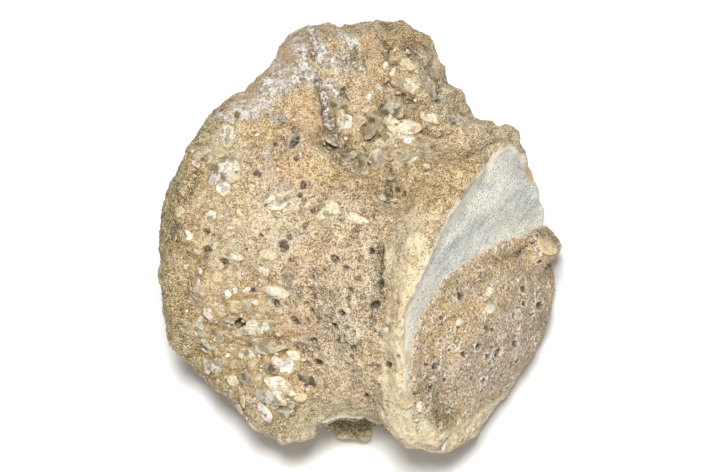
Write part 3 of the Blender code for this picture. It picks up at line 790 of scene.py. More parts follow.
@dataclass
class BoneRelief:
    """The broken, sandy and spongy relief of the bone, in millimetres along the skin's normal."""

    lump_size: float = 6.5
    lump_height: float = 0.44
    coarse_grain: float = 2.3
    coarse_height: float = 0.42
    fine_grain: float = 1.15
    fine_height: float = 0.20
    sponge_cell: float = 1.4
    sponge_depth: float = 0.42
    grit_size: float = 0.62
    grit_height: float = 0.11
    pore_depth: float = 0.7
    pore_tear: float = 0.34
    pore_rim: float = 0.22
    crack_width: float = 0.30
    crack_depth: float = 0.55
    crust_height: float = 0.30
    groove_tear: float = 0.45
    far_wall_depth: float = 0.85
    tear: SolidNoise = field(default_factory=lambda: SolidNoise(20))

    def pores_at(self, pores: Sequence[Pore], surface: Surface,
                 anchors: np.ndarray) -> tuple[np.ndarray, np.ndarray]:
        """Work out the pores' relief.

        Args:
            pores: the pores.
            surface: the points of the skin.
            anchors: where each pore's middle lies on the skin.

        Returns:
            How deep in a pore and how high on a rim each point lies.
        """
        sunk = np.zeros(len(surface.points))
        raised = np.zeros(len(surface.points))
        search = NearSearch(surface.points)
        for pore, anchor in zip(pores, anchors):
            near = search.near(anchor, pore.radius * pore.stretch * 3.0)
            gap = surface.points[near] - anchor
            torn = self.pore_tear * pore.radius
            gap[:, 0] += torn * self.tear.at(surface.points[near], 0.8)
            gap[:, 1] += torn * self.tear.at(surface.points[near] + 40.0, 0.8)
            turn = math.radians(pore.turn_degrees)
            along = (gap[:, 0] * math.cos(turn) + gap[:, 1] * math.sin(turn)) / pore.stretch
            across = gap[:, 1] * math.cos(turn) - gap[:, 0] * math.sin(turn)
            reach = np.sqrt(along ** 2 + across ** 2 + 0.3 * gap[:, 2] ** 2) / pore.radius
            sunk[near] = np.maximum(sunk[near], 1.0 - smoothstep(0.55, 0.95, reach))
            raised[near] += (0.25 + pore.rim) * np.exp(-((reach - 1.2) / 0.22) ** 2)
        return sunk, raised

    def cracks(self, surface: Surface) -> np.ndarray:
        """Work out the cracks.

        Args:
            surface: the skin.

        Returns:
            How deep in a crack each point lies, from 0 to 1.
        """
        shares = np.zeros(len(surface.points))
        for crack in CRACKS:
            gap = distance_to_path(surface.points, crack)
            shares = np.maximum(shares, 1.0 - smoothstep(0.3, 1.0, gap / self.crack_width))
        return shares * surface.facing()

    def grooves(self, surface: Surface) -> tuple[np.ndarray, np.ndarray]:
        """Work out the grooves.

        Args:
            surface: the skin.

        Returns:
            Their depth at each point, and how far it shares in their colour.
        """
        points = surface.points
        bent = points.copy()
        bent[:, 0] += self.groove_tear * self.tear.at(points + 70.0, 1.4)
        bent[:, 1] += self.groove_tear * self.tear.at(points + 110.0, 1.4)
        depth = np.zeros(len(points))
        share = np.zeros(len(points))
        for groove in GROOVES:
            gap = distance_to_path(bent, groove.path) / groove.half_width
            depth = np.maximum(depth, groove.depth * (1.0 - smoothstep(0.3, 1.25, gap)))
            share = np.maximum(share, 1.0 - smoothstep(0.5, 1.2, gap))
        seen = surface.facing()
        return depth * seen, share * seen

    def apply(self, surface: Surface, anchors: np.ndarray) -> np.ndarray:
        """Work out the relief and keep the masks that it gives.

        Args:
            surface: the skin; its masks get pebble, shade, groove, sunk, rim, cement and lift.
            anchors: where each pore's middle lies on the skin.

        Returns:
            The height of the relief at each point.
        """
        points = surface.points
        masks = surface.masks
        calm = 1.0 - masks["striated"]
        height = self.lump_height * SolidNoise(21).octaves(points, self.lump_size, 2)
        warp = np.stack([SolidNoise(seed).at(points, 1.7) for seed in (22, 23, 24)], axis=1)
        bent = points + 0.35 * warp
        near, second, shade = PackedGrains(25).at_grains(bent, self.coarse_grain)
        pebbly = smoothstep(0.25, 0.75, masks["sandy"] + 0.5 * SolidNoise(30).octaves(points, 3.5, 2))
        coarse_dome = smoothstep(0.02, 0.45, second - near) * (shade > 0.30)
        masks["pebble"] = smoothstep(0.08, 0.30, second - near) * (shade > 0.30) * pebbly * calm
        masks["shade"] = shade
        sandy = 0.35 + 0.65 * masks["sandy"]
        height += self.coarse_height * sandy * (coarse_dome - 0.4)
        calm = calm * (1.0 - 0.7 * masks["salmon"])
        near, second, tone = PackedGrains(26).at_grains(bent, self.fine_grain)
        fine_dome = smoothstep(0.0, 0.45, second - near)
        height += self.fine_height * (0.5 + 0.5 * sandy) * (fine_dome * (0.4 + tone) - 0.5)
        hole, _, choice = PackedGrains(27).at_grains(bent, self.sponge_cell)
        wide = 0.16 + 0.22 * choice
        holes = (1.0 - smoothstep(wide, wide + 0.16, hole)) * (choice > 0.30)
        deep = holes * (choice > 0.78)
        spongy = 0.25 + 0.75 * masks["sponge"]
        height -= self.sponge_depth * spongy * (0.6 * holes + 0.5 * deep)
        height += self.grit_height * SolidNoise(28).octaves(points, self.grit_size, 2)
        sunk, raised = self.pores_at(PORES, surface, anchors)
        crack = self.cracks(surface)
        height *= calm * 0.94 + 0.06
        height += self.crust_height * masks["crust"] * (0.3 + 0.7 * SolidNoise(29).octaves(points, 0.9, 2))
        height -= self.pore_depth * sunk * calm
        height += self.pore_rim * raised
        height -= self.crack_depth * crack
        sunken, masks["groove"] = self.grooves(surface)
        height -= sunken
        height *= masks["level"]
        height -= 0.15 * masks["umber"]
        height += 0.15 * masks["lip"] - self.far_wall_depth * masks["far"]
        edge_on = 1.0 - smoothstep(0.3, 0.7, np.abs(surface.normals[:, 2]))
        height += edge_on * sum(knob.at(points) for knob in OUTLINE_KNOBS)
        # Pits, cracks and sponge holes get painted shade in the finish; pore rims get a painted highlight.
        masks["sunk"] = np.clip(sunk + 0.8 * crack + (0.18 * holes + 0.6 * deep) * spongy * calm, 0.0, 1.0)
        masks["rim"] = raised
        masks["cement"] = (1.0 - fine_dome) * calm
        # The relief's height, which the finish paints as light on high places and as shade in low ones.
        masks["lift"] = np.clip(0.5 + 0.7 * height, 0.0, 1.0)
        return height


@dataclass(frozen=True)
class CupSide:
    """The cup end of the centrum: which part of the block the lump and the marl can lie on."""

    centre: Place3 = (23.4, -10.6, 7.0)
    outward: Place3 = (0.8435, -0.2602, 0.4703)
    reach_back: float = 7.0

    def depth(self, points: np.ndarray, outline: Path2) -> np.ndarray:
        """Return how far inside the outline, and in front of the cup's back limit, each point lies."""
        ahead = (points - np.array(self.centre)) @ np.array(self.outward) + self.reach_back
        return np.minimum(depth_inside(points, outline), ahead)


CUP_SIDE = CupSide()


def cut_out(source: bpy.types.Mesh, keep: np.ndarray, name: str) -> bpy.types.Mesh:
    """Cut out the faces whose corners are all kept.

    Args:
        source: the mesh to cut from.
        keep: whether each vertex of the source may be part of the new mesh.
        name: the new mesh's name.

    Returns:
        The new mesh.
    """
    sides = np.empty(len(source.polygons), dtype=np.int32)
    source.polygons.foreach_get("loop_total", sides)
    corners = np.empty(len(source.loops), dtype=np.int32)
    source.loops.foreach_get("vertex_index", corners)
    starts = np.concatenate([[0], np.cumsum(sides)[:-1]])
    whole = np.logical_and.reduceat(keep[corners], starts)
    used = np.unique(corners[np.repeat(whole, sides)])
    place = np.full(len(source.vertices), -1)
    place[used] = np.arange(len(used))
    faces = [place[corners[start:start + count]] for start, count in zip(starts[whole], sides[whole])]
    mesh = bpy.data.meshes.new(name)
    mesh.from_pydata(read_vectors(source)[used], [], faces)
    return mesh


@dataclass
class SmoothBlock:
    """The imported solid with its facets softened, finely meshed, in specimen millimetres."""

    voxel: float = 0.60
    soften_steps: int = 9

    def build(self, source: bpy.types.Object) -> bpy.types.Object:
        """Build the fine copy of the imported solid.

        Args:
            source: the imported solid.

        Returns:
            The copy.
        """
        mesh = source.data.copy()
        mesh.transform(FRAME.matrix().inverted())
        shape = new_object("smooth_block", mesh)
        fuse = shape.modifiers.new("Fuse", "REMESH")
        fuse.mode = "VOXEL"
        fuse.voxel_size = self.voxel
        soften = shape.modifiers.new("Soften", "SMOOTH")
        soften.factor = 0.5
        soften.iterations = self.soften_steps
        refine(shape)
        settle(shape)
        return shape


@dataclass
class Dropper:
    """Finds the places on the block that lie under given spots, seen from above."""

    tree: BVHTree
    start_height: float = 100.0
    nowhere: float = -1000.0

    @classmethod
    def onto(cls, shape: bpy.types.Object) -> "Dropper":
        """Return a dropper onto the shape's mesh."""
        return cls(BVHTree.FromObject(shape, bpy.context.evaluated_depsgraph_get()))

    def drop(self, x: float, y: float) -> tuple[Vector, Vector]:
        """Find what lies under a spot.

        Args:
            x: the spot's X in millimetres.
            y: its Y.

        Returns:
            The place and the normal there, or a place far away where nothing is under the spot.
        """
        down = Vector((0.0, 0.0, -1.0))
        place, normal, _, _ = self.tree.ray_cast(Vector((x, y, self.start_height)), down)
        if place is None:
            return Vector((x, y, self.nowhere)), -down
        return place, normal


# ---- The grains ----


@dataclass
class Grain:
    """One grain set in the surface: its middle, its own axes and its half sizes along them."""

    centre: np.ndarray
    axes: np.ndarray
    half_size: np.ndarray
    tone: float

    def reach(self, points: np.ndarray) -> np.ndarray:
        """Return how far out each point lies, 1 on the grain's own outline and 0 in its middle."""
        inner = (points - self.centre) @ self.axes.T / self.half_size
        return np.hypot(inner[:, 0], inner[:, 1])


@dataclass
class GrainScatter:
    """How the loose run of grains of one kind lies over the block."""

    kind: GrainKind
    count: int
    smallest: float
    largest: float
    sandy_only: float


SCATTERS: tuple[GrainScatter, ...] = (
    GrainScatter(CALCITE, 260, 0.90, 1.75, 1.0),
    GrainScatter(GREY, 40, 0.80, 1.40, 1.0),
    GrainScatter(CALCITE, 320, 0.40, 0.95, 0.97),
    GrainScatter(CHALKY, 620, 0.24, 0.60, 0.75),
    GrainScatter(GREY, 220, 0.35, 0.95, 0.80),
)


@dataclass
class GrainBed:
    """The grains that stand in the cement: rounded, chipped, flattened and mostly sunk in."""

    shapes_per_kind: int = 14
    flat_sides: int = 8
    cut_from: Point2 = (0.62, 0.98)
    waviness: float = 0.20
    lean: float = 0.16
    thickness: float = 0.45
    worn_top: float = 0.55
    sunk_share: float = 0.55
    growth: float = 1.35
    finer_above: Point2 = (0.65, 2.0)
    spacing: float = 0.86
    cell: float = 3.0
    halo_width: float = 0.16
    seed: int = 41

    def pebble(self, maker: np.random.Generator, fineness: int) -> tuple[np.ndarray, np.ndarray]:
        """Chip one pebble out of a ball.

        Args:
            maker: gives its shape.
            fineness: how finely the ball is meshed.

        Returns:
            Its corners, of half size 1, and its triangles.
        """
        ball = bmesh.new()
        bmesh.ops.create_icosphere(ball, subdivisions=fineness, radius=1.0)
        corners = np.array([vertex.co[:] for vertex in ball.verts])
        triangles = np.array([[vertex.index for vertex in face.verts] for face in ball.faces])
        ball.free()
        around = np.arctan2(corners[:, 1], corners[:, 0])
        swell = np.ones(len(corners))
        for waves in range(2, 7):
            start = maker.uniform(0.0, 2.0 * math.pi)
            swell += self.waviness / (waves - 1) * np.cos(waves * around + start)
        corners[:, :2] *= swell[:, None]
        for _ in range(self.flat_sides):
            side = maker.normal(size=3) * (1.0, 1.0, 0.7)
            side /= np.linalg.norm(side)
            over = np.maximum(corners @ side - maker.uniform(*self.cut_from), 0.0)
            corners = corners - 0.94 * over[:, None] * side
        proud = np.maximum(corners[:, 2] - self.worn_top, 0.0)
        corners[:, 2] -= 0.8 * proud
        return corners, triangles

    def axes(self, normal: Vector, turn: float, maker: np.random.Generator) -> np.ndarray:
        """Aim a grain, leaning a little off the surface's normal.

        Args:
            normal: the surface's normal.
            turn: the direction of its length, in radians about Z.
            maker: gives its lean.

        Returns:
            Its long, short and outward axes.
        """
        outward = np.array(normal) + maker.normal(size=3) * self.lean
        outward /= np.linalg.norm(outward)
        aim = np.array((math.cos(turn), math.sin(turn), 0.0))
        if abs(aim @ outward) > 0.95:
            aim = np.array((0.0, 0.0, 1.0))
        along = aim - (aim @ outward) * outward
        along /= np.linalg.norm(along)
        return np.stack([along, np.cross(outward, along), outward])

    def seat(self, place: Vector, normal: Vector, half: Point2, turn: float,
             maker: np.random.Generator) -> Grain:
        """Sink a grain into the surface.

        Args:
            place: where the grain sits.
            normal: the surface's normal there.
            half: half of the grain's length and width.
            turn: the direction of its length, in radians about Z.
            maker: gives its lean and tone.

        Returns:
            The grain.
        """
        axes = self.axes(normal, turn, maker)
        height = self.thickness * min(half)
        centre = np.array(place) - axes[2] * height * maker.uniform(0.05, self.sunk_share)
        return Grain(centre, axes, np.array((half[0], half[1], height)), maker.uniform())

    def placed(self, dropper: Dropper) -> dict[GrainKind, list[Grain]]:
        """Set the large grains, whose places are known.

        Args:
            dropper: finds the places on the block.

        Returns:
            The grains by kind.
        """
        maker = np.random.default_rng(self.seed)
        grains: dict[GrainKind, list[Grain]] = {kind: [] for kind in GrainKind}
        for spot in BIG_GRAINS:
            place, normal = dropper.drop(spot.x, spot.y)
            place = place + spot.rise * normal
            half = (self.growth * spot.half_length, self.growth * spot.half_width)
            grain = self.seat(place, normal, half, math.radians(spot.turn_degrees), maker)
            grains[spot.kind].append(grain)
        return grains

    def scatter(self, grains: dict[GrainKind, list[Grain]], surface: Surface) -> None:
        """Add the run of smaller grains, none on top of another.

        Args:
            grains: the grains so far, by kind; the new ones are added to them.
            surface: the points of the bare bone with their masks.
        """
        maker = np.random.default_rng(self.seed + 1)
        taken: dict[tuple[int, int, int], list[tuple[np.ndarray, float]]] = {}

        def free(centre: np.ndarray, radius: float) -> bool:
            """Take a place for a grain if it is free.

            Args:
                centre: the grain's middle.
                radius: its mean half width.

            Returns:
                Whether it was free.
            """
            cell = tuple(int(value) for value in np.floor(centre / self.cell))
            for step in np.ndindex(3, 3, 3):
                near = (cell[0] + step[0] - 1, cell[1] + step[1] - 1, cell[2] + step[2] - 1)
                for other, reach in taken.get(near, ()):
                    if np.linalg.norm(other - centre) < self.spacing * (radius + reach):
                        return False
            taken.setdefault(cell, []).append((centre, radius))
            return True

        for kind in GrainKind:
            for grain in grains[kind]:
                free(grain.centre, float(grain.half_size[:2].mean()))
        bare = 1.0 - np.maximum(surface.masks["covered"], surface.masks["striated"])
        bare *= 1.0 - np.clip(1.5 * surface.masks["sunk"], 0.0, 1.0)
        for scatter in SCATTERS:
            weight = bare * (1.0 - scatter.sandy_only + scatter.sandy_only * surface.masks["sandy"] ** 2)
            weight *= 1.0 - 0.8 * surface.masks["crust"]
            chances = weight / weight.sum()
            picks = maker.choice(len(weight), size=scatter.count * 2, replace=False, p=chances)
            added = 0
            for pick in picks:
                size = scatter.smallest + (scatter.largest - scatter.smallest) * maker.uniform() ** 2.2
                half = (size, size * maker.uniform(0.55, 0.95))
                turn = maker.uniform(0.0, math.pi)
                if added == scatter.count or not free(surface.points[pick], size):
                    continue
                place = Vector(surface.points[pick])
                grains[scatter.kind].append(self.seat(place, surface.normals[pick], half, turn, maker))
                added += 1

    def halo(self, grains: dict[GrainKind, list[Grain]], surface: Surface) -> np.ndarray:
        """Work out the thin dark line of cement round each grain.

        Args:
            grains: the grains by kind.
            surface: the points of the skin.

        Returns:
            Its share at each point, from 0 to 1.
        """
        shares = np.zeros(len(surface.points))
        search = NearSearch(surface.points)
        for kind in GrainKind:
            for grain in grains[kind]:
                near = search.near(grain.centre, float(grain.half_size.max()) * 1.5)
                edge = (grain.reach(surface.points[near]) - 1.05) * float(grain.half_size[:2].mean())
                shares[near] = np.maximum(shares[near], np.exp(-(edge / self.halo_width) ** 2))
        return shares

    def build(self, kind: GrainKind, grains: Sequence[Grain]) -> bpy.types.Object:
        """Build all the grains of a kind as one mesh.

        Args:
            kind: their kind.
            grains: the grains.

        Returns:
            The piece.
        """
        maker = np.random.default_rng(self.seed + 2 + list(GrainKind).index(kind))
        count = self.shapes_per_kind
        pebbles = [[self.pebble(maker, fineness) for _ in range(count)] for fineness in (2, 3, 4)]
        corners, triangles, tones, rims = [], [], [], []
        total = 0
        for grain in grains:
            fineness = int(np.searchsorted(self.finer_above, grain.half_size[0]))
            shape, sides = pebbles[fineness][maker.integers(count)]
            corners.append(shape * grain.half_size @ grain.axes + grain.centre)
            triangles.append(sides + total)
            tones.append(np.full(len(shape), grain.tone))
            rims.append(np.hypot(shape[:, 0], shape[:, 1]))
            total += len(shape)
        mesh = bpy.data.meshes.new(f"{kind.value}_grains")
        mesh.from_pydata(np.concatenate(corners), [], np.concatenate(triangles))
        store(mesh, "tone", np.concatenate(tones))
        store(mesh, "rim", np.concatenate(rims))
        return new_object(mesh.name, mesh)


# ---- The block's skin, the lump and the marl ----


@dataclass
class BlockSkin:
    """The whole block's skin: bone, sand and crust, with the masks that its material reads."""

    face_budget: int = 194000
    covered_step: float = 0.55
    lip_width: float = 0.40
    wall_reach: float = 12.0
    calm_beside_marl: float = 0.85
    name: str = "bone_and_sand"

    def survey(self, block: bpy.types.Object) -> Surface:
        """Work out what lies where on the block.

        Args:
            block: the smooth block.

        Returns:
            Its points with the shares of the zones and of what covers it.
        """
        surface = Surface.of(block.data)
        points = surface.points
        masks = surface.masks
        masks.update(ZoneMap().at(surface))
        seen = surface.facing(-0.3, 0.1)
        masks["striated"] = seen * smoothstep(-0.6, 0.8, depth_inside(points, STRIATED_EDGE))
        masks["lay"] = distance_to_path(points, ARCH_EDGE, self.wall_reach)
        far = smoothstep(-0.1, 0.35, depth_inside(points, FAR_WALL))
        masks["far"] = far * surface.facing(0.1, 0.5)
        # The lip is a pale band along the hollow's front edge: a painted highlight.
        lip = np.exp(-(masks["lay"] / self.lip_width) ** 2) * (1.0 - far) * surface.facing(0.0, 0.3)
        marl_depth = CUP_SIDE.depth(points, MARL_EDGE)
        marl = smoothstep(0.15, 0.7, marl_depth)
        lump = smoothstep(0.0, 0.5, CUP_SIDE.depth(points, LUMP_EDGE))
        masks["covered"] = np.maximum(marl, lump)
        masks["level"] = 1.0 - self.calm_beside_marl * smoothstep(-1.3, -0.2, marl_depth)
        wavy = SolidNoise(13).octaves(points, 1.5, 3)
        seam = distance_to_path(points + 0.3 * wavy[:, None], MARL_SEAM) + 0.22 * wavy
        masks["seam"] = 1.0 - smoothstep(0.10, 0.55, seam)
        # The step from the rim down to the marl is painted pale, as painted light against the shade on it.
        masks["lip"] = np.maximum(lip, smoothstep(-0.9, -0.25, marl_depth + 0.3 * wavy))
        return surface

    def build(self, block: bpy.types.Object, surface: Surface, height: np.ndarray) -> bpy.types.Object:
        """Build the skin with its relief.

        Args:
            block: the smooth block.
            surface: the block's points and masks.
            height: the relief at each point.

        Returns:
            The skin.
        """
        shape = new_object(self.name, block.data.copy())
        covered = surface.masks["covered"]
        lift = height * (1.0 - covered) - self.covered_step * covered
        write_vectors(shape.data, surface.points + surface.normals * lift[:, None])
        for name in STORED_MASKS:
            store(shape.data, name, surface.masks[name])
        self.thin_out(shape, surface)
        return shape

    def thin_out(self, shape: bpy.types.Object, surface: Surface) -> None:
        """Bring the faces down to the budget, more of them away from the upper side than on it.

        Args:
            shape: the skin.
            surface: its points and masks.
        """
        group = shape.vertex_groups.new(name="thin")
        seen = surface.facing(-0.25, 0.15) * (1.0 - surface.masks["covered"])
        level = np.clip(np.round((1.0 - 0.85 * seen) * 10.0), 1, 10).astype(int)
        for step in range(1, 11):
            group.add(np.nonzero(level == step)[0].tolist(), step / 10.0, "REPLACE")
        triangles = sum(len(face.vertices) - 2 for face in shape.data.polygons)
        reduce = shape.modifiers.new("Reduce", "DECIMATE")
        reduce.ratio = self.face_budget / triangles
        reduce.vertex_group = group.name
        reduce.vertex_group_factor = 1.0
        settle(shape)


# The masks of the skin that its material reads.
STORED_MASKS = (
    "sunk", "rim", "pebble", "shade", "groove", "cement", "halo", "lift", "striated", "lay", "far", "lip",
    "seam", "sandy", "crust", "ochre", "salmon", "olive", "umber", "pale", "cream", "grey",
)


@dataclass
class CupLump:
    """The cancellous lump that fills the cup, with its net of pale walls and its round pores."""

    name: str = "cup_lump"
    cells: tuple[float, ...] = (2.6, 1.7, 1.1)
    wall_share: float = 0.05
    wall_height: float = 0.10
    cell_depth: float = 0.12
    grit: float = 0.10
    swell: float = 0.22
    brow_lift: float = 0.30
    brow_width: float = 2.6
    level: float = 0.25
    torn_edge: float = 0.35
    tuck: float = 0.7
    face_budget: int = 175000

    def build(self, block: bpy.types.Object, dropper: Dropper) -> bpy.types.Object:
        """Build the lump's skin.

        Args:
            block: the smooth block.
            dropper: finds the places of the pores on it.

        Returns:
            The skin.
        """
        depth = CUP_SIDE.depth(read_vectors(block.data), LUMP_EDGE)
        shape = new_object(self.name, cut_out(block.data, depth > -1.0, self.name))
        refine(shape)
        settle(shape)
        surface = Surface.of(shape.data)
        depth = CUP_SIDE.depth(surface.points, LUMP_EDGE)
        ragged = depth + self.torn_edge * SolidNoise(51).octaves(surface.points, 1.6, 2)
        inside = smoothstep(-0.3, 0.35, ragged)
        height = self.relief(surface, dropper)
        brow = distance_to_path(surface.points, LUMP_BROW)
        lift = self.brow_lift * np.exp(-(brow / self.brow_width) ** 2) * surface.facing(0.0, 0.3)
        total = inside * (inside * height + self.level + lift) - (1.0 - inside) * self.tuck
        write_vectors(shape.data, surface.points + surface.normals * total[:, None])
        # A pale band along the brow: a painted highlight where the edge meets the light.
        uneven = brow + 0.25 * SolidNoise(52).at(surface.points, 1.3)
        surface.masks["edge"] = 1.0 - smoothstep(0.3, 1.1, uneven)
        for name, values in surface.masks.items():
            store(shape.data, name, values)
        reduce = shape.modifiers.new("Reduce", "DECIMATE")
        reduce.ratio = self.face_budget / (2.0 * len(shape.data.polygons))
        settle(shape)
        return shape

    def relief(self, surface: Surface, dropper: Dropper) -> np.ndarray:
        """Work out the lump's relief, and keep its masks on the surface.

        Args:
            surface: the points of the lump.
            dropper: finds the places of the pores.

        Returns:
            The height at each point.
        """
        points = surface.points
        masks = surface.masks
        warp = np.stack([SolidNoise(seed).octaves(points, 1.3, 2) for seed in (53, 54, 55)], axis=1)
        sunk, raised = BoneRelief().pores_at(LUMP_PORES, surface, anchors_of(LUMP_PORES, dropper))
        height = self.grit * SolidNoise(57).octaves(points, 0.5, 3)
        height += self.swell * SolidNoise(58).octaves(points, 4.5, 2)
        masks["wall"] = np.zeros(len(points))
        masks["fill"] = np.zeros(len(points))
        masks["tone"] = np.full(len(points), 0.5)
        for number, size in enumerate(self.cells):
            near, _, tone = PackedGrains(56 + 20 * number).at_grains(points + 0.30 * warp, size)
            own = (7.3 * tone) % 1.0
            reach = near - 0.16 - 0.26 * own
            kept = (tone > 0.35) * 1.0
            wall = kept * np.exp(-((reach + 0.01) / self.wall_share) ** 2)
            fill = kept * (1.0 - smoothstep(-0.09, 0.0, reach))
            open_share = smoothstep(0.86, 0.90, tone)
            height += self.wall_height * wall - size * fill * (self.cell_depth * own + 0.30 * open_share)
            masks["wall"] = np.maximum(masks["wall"] * (1.0 - fill), wall)
            masks["fill"] = np.maximum(masks["fill"], fill)
            masks["tone"] = np.where(fill > 0.3, tone, masks["tone"])
            sunk = np.maximum(sunk, 0.9 * fill * open_share)
        height -= 0.6 * sunk
        height += 0.16 * raised
        # Pores and open cells get painted shade in the finish; pore rims get a painted highlight.
        masks["sunk"] = sunk
        masks["rim"] = raised
        masks["umber"] = patched(LUMP_DARK, points)
        masks["ochre"] = patched(LUMP_OCHRE, points)
        masks["mauve"] = patched(LUMP_MAUVE, points)
        return height


LUMP_PORES: tuple[Pore, ...] = rows(
    Pore,
    (34.3, -10.2, 0.69, 1.1, 60.0, 0.2), (28.4, -15.4, 0.75, 1.2, -20.0, 0.6),
    (18.4, -11.6, 0.88, 1.5, 60.0, 0.2), (14.6, -15.6, 0.62, 1.3, -10.0), (11.4, -20.0, 0.44),
    (11.8, -24.2, 0.44), (13.4, -24.6, 0.81, 1.4, -15.0, 0.3), (18.9, -22.4, 0.56, 1.2, 0.0, 0.4),
    (20.6, -20.6, 0.38), (21.7, -20.9, 0.75, 1.6, 10.0, 0.5), (23.4, -23.0, 0.62, 1.0, 0.0, 0.8),
    (25.4, -22.4, 0.75, 1.6, 50.0, 0.5), (28.8, -20.8, 0.75, 1.5, -20.0, 0.3),
    (30.6, -13.2, 0.56, 1.3, 0.0, 0.4), (33.8, -13.6, 0.88, 1.6, 20.0, 0.4), (32.0, -15.6, 0.44),
    (33.2, -19.8, 0.75, 1.4, 60.0, 0.7), (22.6, -27.6, 0.69, 1.0, 0.0, 0.7), (20.4, -27.0, 0.5),
    (15.2, -27.0, 0.5), (22.4, -29.4, 0.44), (16.2, -21.6, 0.38), (24.4, -18.0, 0.5),
    (30.4, -10.4, 0.75, 1.1, 0.0, 0.5), (12.6, -28.6, 0.62, 1.4, 40.0), (32.4, -1.6, 0.56, 1.4, 30.0),
    (33.8, -5.2, 0.5, 1.6, -20.0), (26.2, -26.6, 0.44), (28.2, -24.4, 0.44), (17.8, -17.4, 0.38),
)

LUMP_DARK: tuple[Patch, ...] = rows(
    Patch,
    (15.0, -34.0, 3.0, 2.6, 20.0), (12.6, -28.4, 2.4, 4.4, 0.0, 0.8), (20.0, -9.6, 4.8, 1.2, 30.0, 0.8),
    (34.6, -16.6, 2.4, 2.2, 30.0, 0.7), (23.0, -21.2, 4.0, 1.4, 0.0, 0.5),
    (27.6, -4.0, 5.0, 1.1, 14.0, 0.9), (33.0, 0.0, 2.0, 1.0, 0.0, 0.7), (36.2, -0.4, 1.4, 2.8, 0.0, 0.7),
    (30.0, -24.6, 2.4, 1.6, 60.0, 0.4),
)

LUMP_OCHRE: tuple[Patch, ...] = rows(
    Patch,
    (17.0, -17.0, 5.4, 6.0), (27.4, -9.4, 6.5, 3.2, -20.0), (24.0, -13.6, 2.0, 4.6, 0.0, 0.8),
    (35.6, -3.4, 2.8, 4.0, 0.0, 0.9), (13.0, -12.6, 1.6, 4.0, -30.0, 0.6),
)

LUMP_MAUVE: tuple[Patch, ...] = rows(
    Patch,
    (21.0, -26.0, 9.0, 6.0), (30.0, -18.0, 5.4, 6.4), (30.6, -9.0, 4.6, 3.0, 0.0, 0.6),
)


def anchors_of(pores: Sequence[Pore], dropper: Dropper) -> np.ndarray:
    """Return the place on the block of each pore's middle."""
    return np.array([dropper.drop(pore.x, pore.y)[0] for pore in pores])


@dataclass
class MarlWedge:
    """The wedge of fine marl in the cup: nearly smooth, streaked along its fold and speckled."""

    name: str = "marl_wedge"
    streak_height: float = 0.05
    grit: float = 0.08
    rise: float = 0.06
    torn_edge: float = 0.22
    tuck: float = 0.45

    def build(self, block: bpy.types.Object) -> bpy.types.Object:
        """Build the marl's skin.

        Args:
            block: the smooth block that it is cut from.

        Returns:
            The skin.
        """
        depth = CUP_SIDE.depth(read_vectors(block.data), MARL_EDGE)
        shape = new_object(self.name, cut_out(block.data, depth > -1.0, self.name))
        surface = Surface.of(shape.data)
        points = surface.points
        depth = CUP_SIDE.depth(points, MARL_EDGE)
        inside = smoothstep(-0.35, 0.25, depth + self.torn_edge * SolidNoise(61).octaves(points, 1.2, 2))
        turn = math.radians(MARL_GRAIN_DEGREES)
        laid = points.copy()
        laid[:, 0] = (points[:, 0] * math.cos(turn) + points[:, 1] * math.sin(turn)) / 7.0
        laid[:, 1] = points[:, 1] * math.cos(turn) - points[:, 0] * math.sin(turn)
        height = self.streak_height * SolidNoise(63).octaves(laid, 0.9, 3)
        height += self.grit * SolidNoise(64).octaves(points, 0.55, 2)
        total = inside * (height + self.rise) - (1.0 - inside) * self.tuck
        write_vectors(shape.data, points + surface.normals * total[:, None])
        ragged = 0.6 * SolidNoise(65).octaves(points, 1.6, 3)
        store(shape.data, "edge", 1.0 - smoothstep(-0.2, 2.2, depth + ragged))
        store(shape.data, "smudge", patched(MARL_GREYED, points))
        store(shape.data, "cream", patched(MARL_CREAM_AND_LIGHT, points))
        store(shape.data, "rusty", patched(MARL_RUSTY, points))
        return shape


# Grey patches: bands along the fold of the wedge and a darker upper end.
MARL_GREYED: tuple[Patch, ...] = rows(
    Patch,
    (23.4, 8.8, 1.5, 0.9, 10.0), (26.6, 14.9, 0.9, 1.4, 0.0, 0.6), (20.4, 0.6, 5.4, 0.8, 46.0, 0.8),
    (27.6, 6.2, 4.0, 0.5, 46.0, 0.7), (29.6, 6.6, 1.6, 0.9, 40.0, 0.5), (14.6, -4.6, 4.4, 0.9, 48.0, 0.55),
    (29.2, 11.6, 0.8, 1.4, 0.0, 0.4), (9.3, -13.6, 0.9, 2.6, 0.0, 0.7), (28.0, 14.0, 3.4, 4.0, 0.0, 0.5),
    (31.0, 7.0, 5.0, 2.0, -60.0, 0.4), (17.0, -1.6, 3.0, 0.5, 46.0, 0.7), (24.6, 1.4, 4.0, 0.4, 30.0, 0.6),
)

# Cream patches of the marl; those at (12.0, -9.6), (10.9, -8.6) and (10.0, -15.6) lighten the lower end of
# the wedge, which faces away from the light: painted light.
MARL_CREAM_AND_LIGHT: tuple[Patch, ...] = rows(
    Patch,
    (12.0, -9.6, 2.4, 4.0, -40.0, 0.9), (23.4, 4.8, 4.0, 1.5, 20.0), (26.0, 11.0, 3.2, 3.0, 0.0, 0.7),
    (29.6, 1.2, 4.2, 1.3, 12.0), (10.9, -8.6, 1.6, 1.7), (10.0, -15.6, 1.0, 2.6),
    (9.6, -30.0, 1.6, 5.0, 0.0, 0.8), (24.6, -1.6, 4.2, 0.6, 22.0, 0.8),
)

MARL_RUSTY: tuple[Patch, ...] = rows(Patch, (31.4, 11.2, 0.9, 2.0, 24.0, 1.0))


# ---- The finishes ----


def linear(colour: str) -> tuple[float, float, float, float]:
    """Turn an sRGB colour to a linear one.

    Args:
        colour: a hex value such as "#C9B79C".

    Returns:
        Its red, green, blue and alpha.
    """
    parts = [int(colour[start:start + 2], 16) / 255.0 for start in (1, 3, 5)]
    values = [part / 12.92 if part <= 0.04045 else ((part + 0.055) / 1.055) ** 2.4 for part in parts]
    return (values[0], values[1], values[2], 1.0)


